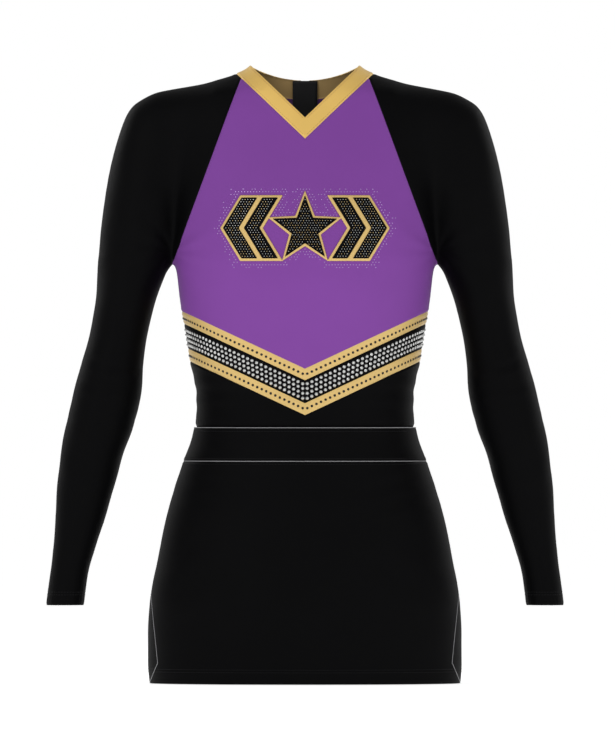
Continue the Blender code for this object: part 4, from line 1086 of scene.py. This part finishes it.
def stitched(name, lines, mat, body, slot):
    """Rows of single stitches. Each line is (points, normals) along the cloth."""
    base, faces = stitch_shape()
    stitches = []
    for points, normals in lines:
        points, normals = np.asarray(points), np.asarray(normals)
        arc = arc_lengths(points)
        for along in np.arange(STITCH_PITCH / 2, arc[-1] - STITCH_PITCH / 2, STITCH_PITCH):
            spot = interpolated(along, arc, points)
            way = unit(interpolated(along + 0.6, arc, points) - spot)
            out = interpolated(along, arc, normals)
            out = unit(out - way * (out @ way))
            across = np.cross(out, way)
            stitches.append(spot + base[:, 0:1] * way + base[:, 1:2] * across + base[:, 2:3] * out)
    polygons = copied(faces, len(base), len(stitches))
    worn_on(build(name, np.concatenate(stitches), polygons, [mat]), body, slot)


def seen_line(spots, front=True, lift=0.12):
    """Points and normals of the top at each x, z that meets it."""
    found = [top.seen(x, z, front, lift) for x, z in spots]
    return tuple(zip(*(each for each in found if each is not None)))


def neck_line(side, edge, front, offset, end, lift=0.12):
    """A line at an offset in height from a neck edge, out to x = end."""
    values = np.linspace(2.0 if front else 7.0, end, 60)
    return seen_line([(side * x, neck_z(edge, x, front) + offset) for x in values], front, lift)


lines = []
for side, _ in SIDES:
    lines.append(neck_line(side, NECK_OUT, True, -1.9 / NECK_LEAN_FRONT, 68.0))
    lines.append(neck_line(side, NECK_OUT, False, -1.9 / NECK_LEAN_BACK, 68.0))
stitched("neck_topstitch", lines, purple_thread, "top", "purple_knit")
# edge, in front or behind, height from the edge, end x
BAND_LINES = (
    (NECK_OUT, True, 2.4, 71.0), (NECK_IN, True, -2.8, 59.0),
    (NECK_OUT, False, 1.9, 70.0), (NECK_IN, False, -2.2, 57.0),
)
lines = [neck_line(side, *line, lift=0.15) for side, _ in SIDES for line in BAND_LINES]
stitched("neck_band_stitch", lines, gold_thread, "top", "gold_trim")
lines = [
    seen_line([(side * (raglan_x(z) - 2.0), z) for z in np.linspace(472.0, 655.0, 120)], front)
    for side, _ in SIDES for front in (True, False)
]
stitched("raglan_topstitch", lines, purple_thread, "top", "purple_knit")
lines = [
    seen_line([(side * (ZIP_CHANNEL + 2.6), z) for z in np.linspace(352.0, 636.0, 90)], False)
    for side, _ in SIDES
]
stitched("zip_topstitch_upper", lines, purple_thread, "top", "purple_knit")
for side, side_name in SIDES:
    lines = []
    for height in (11.5, 14.5):
        ring = sleeve_ring(CUFF_Z + height, 96, side)
        lines.append(tuple(zip(*(top.nearest(spot, 0.12) for spot in np.vstack([ring, ring[:1]])))))
    stitched(f"cuff_stitch_{side_name}", lines, black_thread, f"lower_sleeve_{side_name}", "black_knit")


# ---------------------------------------------------------------- the skirt
def skirt_surface():
    step, count = ((3.0, 288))
    levels = list(np.linspace(0.0, WAIST_LOW_Z, int(WAIST_LOW_Z / step) + 1))
    levels += list(np.linspace(WAIST_LOW_Z, WAIST_TOP_Z, 14)[1:])
    rings = []
    for z in levels:
        dense = torso_ring(station_at(SKIRT_STATIONS, z), z, 2048)
        loop = np.vstack([dense, dense[:1]])
        arc = arc_lengths(loop)
        rings.append(interpolated(np.arange(count) * arc[-1] / count, arc, loop))
    return skin(rings, closed_ends=False)


def skirt_fields(points):
    side_x, y, z = np.abs(points[:, 0]), points[:, 1], points[:, 2]
    bend_x, bend_z = GUSSET_BEND
    edge = np.where(
        z > bend_z,
        bend_x + (GUSSET_TOP[0] - bend_x) * (z - bend_z) / (GUSSET_TOP[1] - bend_z),
        bend_x + (GUSSET_HEM[0] - bend_x) * (bend_z - z) / bend_z,
    )
    return {"gusset": side_x - edge, "x": points[:, 0], "y": y, "z": z, "side_x": side_x}


def skirt_relief(points, normals):
    """Height of folds and seams over the skirt."""
    at = skirt_fields(points)
    x, y, z, side_x = at["x"], at["y"], at["z"], at["side_x"]
    # slow folds, calmer where the cloth faces sideways
    rise = 0.45 * np.sin(x / 41.0 + 0.8) * np.sin(z / 37.0) * smoothstep((230 - z) / 60) * smoothstep(z / 20)
    calm = 1 - 0.8 * smoothstep((np.abs(normals[:, 0]) - 0.6) / 0.3)
    rise += calm * 0.5 * bell(z - 214.0, 26.0) * wave(z - 0.25 * side_x, 23.0) * smoothstep((side_x - 50) / 60)
    rise += calm * 0.4 * bell(z - 120.0, 60.0) * wave(z + 0.45 * side_x, 47.0) * smoothstep((side_x - 30) / 80)
    # the waistband stands proud of its seam
    rise += seam(z - WAIST_LOW_Z) + (z > WAIST_LOW_Z) * 0.35 * smoothstep((z - WAIST_LOW_Z) / 1.5)
    rise += -0.4 * bell(z - WAIST_TOP_Z, 1.0)
    # side seams, back seam, zip edges, gusset and hem
    rise += ((z > GUSSET_TOP[1] - 4) & (z < WAIST_LOW_Z)) * seam(y)
    rise += ((y > 0) & (z < SKIRT_ZIP_LOW_Z + 3)) * seam(x)
    rise += ((y > 0) & (z > SKIRT_ZIP_LOW_Z - 1)) * -0.4 * bell(side_x - ZIP_CHANNEL, 1.3)
    rise += (z < GUSSET_TOP[1] + 2) * -0.4 * bell(at["gusset"], 0.45)
    rise += -0.3 * bell(z, 1.0)
    return rise


SKIRT_CUTS = (
    ("x", (0.0, -1.1, 1.1)), ("y", (0.0, 1.1, -1.1)), ("side_x", (ZIP_CHANNEL, ZIP_CHANNEL + 1.4)),
    ("z", (WAIST_LOW_Z - SEAM_LIP, WAIST_LOW_Z - 1.1, WAIST_LOW_Z, WAIST_LOW_Z + 1.1,
           WAIST_TOP_Z - 1.2, 1.2, SKIRT_ZIP_LOW_Z)),
    ("gusset", (-0.8, -0.35, 0.0, 0.35, 0.8)),
)
flat_p, skirt_faces = split_along(*skirt_surface(), skirt_fields, SKIRT_CUTS)
flat_n = vertex_normals(flat_p, skirt_faces)
skirt = Surface(flat_p + flat_n * skirt_relief(flat_p, flat_n)[:, None], skirt_faces)
middle = flat_p[skirt_faces].mean(1)
at = skirt_fields(middle)
gusset = (at["gusset"] > 0) & (at["z"] < GUSSET_TOP[1] + 1)
waistband = at["z"] > WAIST_LOW_Z
is_front = middle[:, 1] < 0
behind = ~is_front & ~((at["side_x"] < ZIP_CHANNEL) & (at["z"] > SKIRT_ZIP_LOW_Z))
panels = {
    "skirt_front_panel": ~gusset & ~waistband & is_front,
    "waistband_front": waistband & is_front,
}
for side, side_name in SIDES:
    mine = middle[:, 0] * side > 0
    panels[f"skirt_back_{side_name}"] = ~gusset & ~waistband & behind & mine
    panels[f"waistband_back_{side_name}"] = waistband & behind & mine
    panels[f"side_gusset_{side_name}"] = gusset & mine
for node, chosen in panels.items():
    obj = shell(f"{node}_cloth", skirt, chosen, SKIRT_THICK, (black, black_in))
    worn_on(obj, "skirt", "black_knit", node)


def skirt_ring(z, lift, gap=None, count=420):
    """Points and normals from one side of the back zip to the other, or all the way round."""
    ring = np.roll(torso_ring(station_at(SKIRT_STATIONS, z), z, count), -(count // 4), axis=0)
    if gap:
        ring = ring[(np.abs(ring[:, 0]) > gap) | (ring[:, 1] < 0)]
    else:
        ring = np.vstack([ring, ring[:1]])
    return tuple(zip(*(skirt.nearest(spot, lift) for spot in ring)))


PIPING_LIFT = 0.3
for label, level in (("upper", WAIST_TOP_Z - 0.6), ("lower", WAIST_LOW_Z)):
    points, _ = skirt_ring(level, PIPING_LIFT, ZIP_CHANNEL + 0.8)
    cord = tube(f"waist_piping_{label}_cord", points, 0.4, piping_mat)
    worn_on(cord, "skirt", "piping", f"waist_piping_{label}")


def gusset_path(side):
    """Up the front edge of a gusset from the hem, over its top and down the back edge."""
    (top_x, top_z), (bend_x, bend_z) = GUSSET_TOP, GUSSET_BEND
    edge = []
    for k in range(61):
        t = (k / 60) ** 2
        edge.append((top_x + (bend_x - top_x) * t, top_z + (bend_z - top_z) * t))
    for k in range(1, 21):
        t = k / 20
        edge.append((bend_x + (GUSSET_HEM[0] - bend_x) * t * 0.96, bend_z * (1 - t) + 0.7))
    front_leg, back_leg = [], []
    for x, z in edge:
        half_width, front, back, _, power = station_at(SKIRT_STATIONS, z)
        if x >= half_width:
            apex = (side * half_width, 0.0, z)
            continue
        for leg, depth in ((front_leg, -front), (back_leg, back)):
            y = depth * (1 - (x / half_width) ** power) ** (1 / power)
            leg.append((side * x, y, z))
    return [skirt.nearest(spot, PIPING_LIFT)[0] for spot in front_leg[::-1] + [apex] + back_leg]


for side, side_name in SIDES:
    cord = tube(f"gusset_piping_{side_name}_cord", gusset_path(side), 0.38, piping_mat, least_step=0.5)
    worn_on(cord, "skirt", "piping", f"gusset_piping_{side_name}")

lines = [skirt_ring(z, 0.12) for z in (13.0, 16.0)]
stitched("skirt_hem_stitch", lines, black_thread, "skirt", "black_knit")
lines = [skirt_ring(z, 0.12, 9.0) for z in (WAIST_LOW_Z + 3.0, WAIST_TOP_Z - 4.5, WAIST_LOW_Z - 3.0)]
stitched("waistband_stitch", lines, black_thread, "skirt", "black_knit")


# ---------------------------------------------------------------- zips
TOOTH_PITCH = 1.9
TOOTH_PROFILE = ((0.32, 0.42), (0.6, 0.56), (1.5, 0.50), (2.6, 0.40), (3.05, 0.2))  # x, radius
# sections across the back: x, then distance out of the zip line
TAPE_SECTION = (
    (0.62, -2.95), (1.0, -2.72), (1.75, -2.62), (2.5, -2.72), (3.1, -3.1), (3.7, -3.4), (8.0, -3.4),
    (13.4, -3.42), (13.7, -3.6), (13.7, -4.05), (13.4, -4.2), (8.0, -4.2), (3.0, -4.2),
)
GUARD_OUTER = (
    (-13.2, -4.22), (-10.6, -4.3), (-8.6, -5.2), (-6.6, -6.0), (0.0, -6.1), (6.0, -6.1),
    (11.2, -6.05), (11.7, -6.2),
)
GUARD_INNER = (
    (-13.2, -4.72), (-10.9, -4.82), (-8.9, -5.7), (-6.8, -6.5), (0.0, -6.6), (6.0, -6.6),
    (11.2, -6.6), (11.7, -6.45),
)


class Zip:
    """A zip up the back of a garment, along a straight line."""

    def __init__(self, prefix, line, body):
        low_z, low_y, high_z, high_y = line
        self.prefix, self.body = prefix, body
        self.origin = np.array([0.0, low_y, low_z])
        self.up = unit(np.array([0.0, high_y - low_y, high_z - low_z]))
        self.out = np.array([0.0, self.up[2], -self.up[1]])

    def span(self, part):
        """How far along the line a piece of the frame starts and ends."""
        return [(end.z / MM - self.origin[2]) / self.up[2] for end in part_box(f"{self.prefix}_{part}")]

    def section(self, outline, along, side=1):
        base = self.origin + self.up * along
        return np.array([base + np.array([side * x, 0.0, 0.0]) + self.out * y for x, y in outline])

    def add(self, name, points, faces, mat, slot, *nodes):
        obj = build(f"{self.prefix}_{name}", points, faces, [mat])
        face_outwards(obj)
        worn_on(obj, self.body, slot, *nodes)

    def teeth(self):
        """Each tooth is a small bar that reaches outwards from 0.32 mm beside the midline, so the two rows
        leave a narrow slit between them.
        """
        base = []
        for x, radius in TOOTH_PROFILE:
            for k in range(6):
                angle = 2 * math.pi * k / 6
                y = -1.75 + 0.8 * math.cos(angle) * (0.6 + radius * 0.7)
                base.append((x, y, radius * math.sin(angle) * 1.35))
        base, faces = np.array(base), prism(len(TOOTH_PROFILE), 6)
        start, end = self.span("coil_left")
        for side, side_name in SIDES:
            shape = (side * base[:, 0:1] * np.array([1.0, 0, 0]) + base[:, 1:2] * self.out
                     + base[:, 2:3] * self.up)
            first = start + 0.2 + (TOOTH_PITCH / 2 if side < 0 else 0.0)
            spots = np.arange(first, end - 0.2, TOOTH_PITCH)
            points = np.concatenate([self.origin + self.up * along + shape for along in spots])
            turned = faces if side < 0 else [face[::-1] for face in faces]
            self.add(f"teeth_{side_name}", points, copied(turned, len(base), len(spots)),
                     coil_mat, "zip_coil", f"{self.prefix}_coil_{side_name}")

    def tapes(self):
        """Tapes with a corded edge under the coil; above the closed slider their edges meet."""
        start, end = self.span("tape_left")
        start, end = start - 5.0, end - 0.1
        meet = self.span("slider")[1] + 1.0
        rows = sorted({*np.arange(start, end, 2.5).tolist(), meet - 0.6, meet, end})
        for side, side_name in SIDES:
            rings = []
            for along in rows:
                edge = 0.32 if along < meet - 0.3 else 0.002
                outline = ((edge, -4.1), (edge, -3.3), *TAPE_SECTION, (edge + 0.2, -4.2))
                ring = self.section(outline, along, side)
                rings.append(ring if side < 0 else ring[::-1])
            self.add(f"tape_{side_name}_woven", *skin(rings), tape_mat,
                     "zip_tape", f"{self.prefix}_tape_{side_name}")

    def guard(self):
        """A soft strip behind the zip, sewn to one tape only, so that no metal touches the skin."""
        start, end = self.span("tape_left")
        start, end = start - 5.0, end - 1.2
        rows = np.arange(start, end, 3.0).tolist() + [end]
        outline = GUARD_OUTER + GUARD_INNER[::-1]
        points, faces = skin([self.section(outline, along) for along in rows], closed_ends=False)
        caps, count = [], len(outline)
        for base in (0, (len(rows) - 1) * count):
            for k in range(len(GUARD_OUTER) - 1):
                outer, inner = base + k, base + count - 1 - k
                caps += [(outer, outer + 1, inner - 1), (outer, inner - 1, inner)]
        self.add("guard", points, np.concatenate([faces, np.array(caps)]), tape_mat, "zip_tape")


top_zip = Zip("top_zip", TOP_BACK_LINE, "top")
for each in (top_zip, Zip("skirt_zip", SKIRT_BACK_LINE, "skirt")):
    each.teeth()
    each.tapes()
top_zip.guard()

# ---------------------------------------------------------------- pieces of the frame that stay
for node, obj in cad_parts.items():
    if obj.hide_render:
        continue
    mat = None
    if "tape" in node:
        mat = tape_mat
    elif node.endswith(("slider", "pull")):
        mat = zip_metal
        bevel = obj.modifiers.new("edges", "BEVEL")
        bevel.width = 0.00022
        bevel.segments = 2
        bevel.limit_method = "ANGLE"
    elif "elastic" in node:
        mat = elastic_mat
    if mat:
        for slot in obj.material_slots:
            slot.material = mat
        if not obj.material_slots:
            obj.data.materials.append(mat)

# ---------------------------------------------------------------- floor, light and camera
WHITE = (1, 1, 1, 1)
FLOOR_HALF, FLOOR_Z = 60000.0, -0.6
VIEW_HEIGHT, LENS, SENSOR = 812.9, 800.0, 36.0
floor = Shader("floor").finish(Base_Color=(0.80, 0.80, 0.80, 1), Roughness=0.9, Specular_IOR_Level=0.0,
                               Emission_Color=WHITE, Emission_Strength=0.648)
corners = [(x * FLOOR_HALF, y * FLOOR_HALF, FLOOR_Z) for x, y in ((-1, -1), (1, -1), (1, 1), (-1, 1))]
build("studio_floor", corners, [(0, 1, 2, 3)], [floor])

# the camera sees a brighter world than the one that lights the cloth
scene = bpy.context.scene
world = bpy.data.worlds.new("studio")
world.use_nodes = True
nodes, links = world.node_tree.nodes, world.node_tree.links
lit, seen = nodes["Background"], nodes.new("ShaderNodeBackground")
for background, strength in ((lit, 0.44), (seen, 1.0)):
    background.inputs[0].default_value = WHITE
    background.inputs[1].default_value = strength
mix = nodes.new("ShaderNodeMixShader")
ray = nodes.new("ShaderNodeLightPath")
links.new(ray.outputs["Is Camera Ray"], mix.inputs[0])
links.new(lit.outputs[0], mix.inputs[1])
links.new(seen.outputs[0], mix.inputs[2])
links.new(mix.outputs[0], nodes["World Output"].inputs[0])
scene.world = world
scene.view_settings.view_transform = "Standard"

# name, place, height aimed at, width and height in metres, watts
for name, place, aim_z, size, power in (
    ("key", (-1.5, -2.4, 2.0), 0.35, (1.6, 1.6), 24),
    ("fill", (1.9, -2.2, 1.2), 0.35, (1.8, 1.8), 12),
    ("rim_left", (-1.8, 1.6, 1.5), 0.4, (1.0, 1.6), 15),
    ("rim_right", (1.8, 1.6, 1.5), 0.4, (1.0, 1.6), 15),
):
    light = bpy.data.lights.new(name, "AREA")
    light.shape = "RECTANGLE"
    light.size, light.size_y = size
    light.energy = power
    obj = bpy.data.objects.new(name, light)
    scene.collection.objects.link(obj)
    obj.location = place
    obj.rotation_euler = (Vector((0, 0, aim_z)) - Vector(place)).to_track_quat("-Z", "Y").to_euler()

camera = bpy.data.cameras.new("camera")
camera.sensor_fit = "VERTICAL"
camera.sensor_height = SENSOR
camera.lens = LENS
camera.clip_end = 60.0
eye = bpy.data.objects.new("camera", camera)
scene.collection.objects.link(eye)
# as far off as makes the view VIEW_HEIGHT tall at the midline
eye.location = (0.00275, -VIEW_HEIGHT * MM * LENS / SENSOR, 0.3449)
eye.rotation_euler = (math.pi / 2, 0, 0)
scene.camera = eye
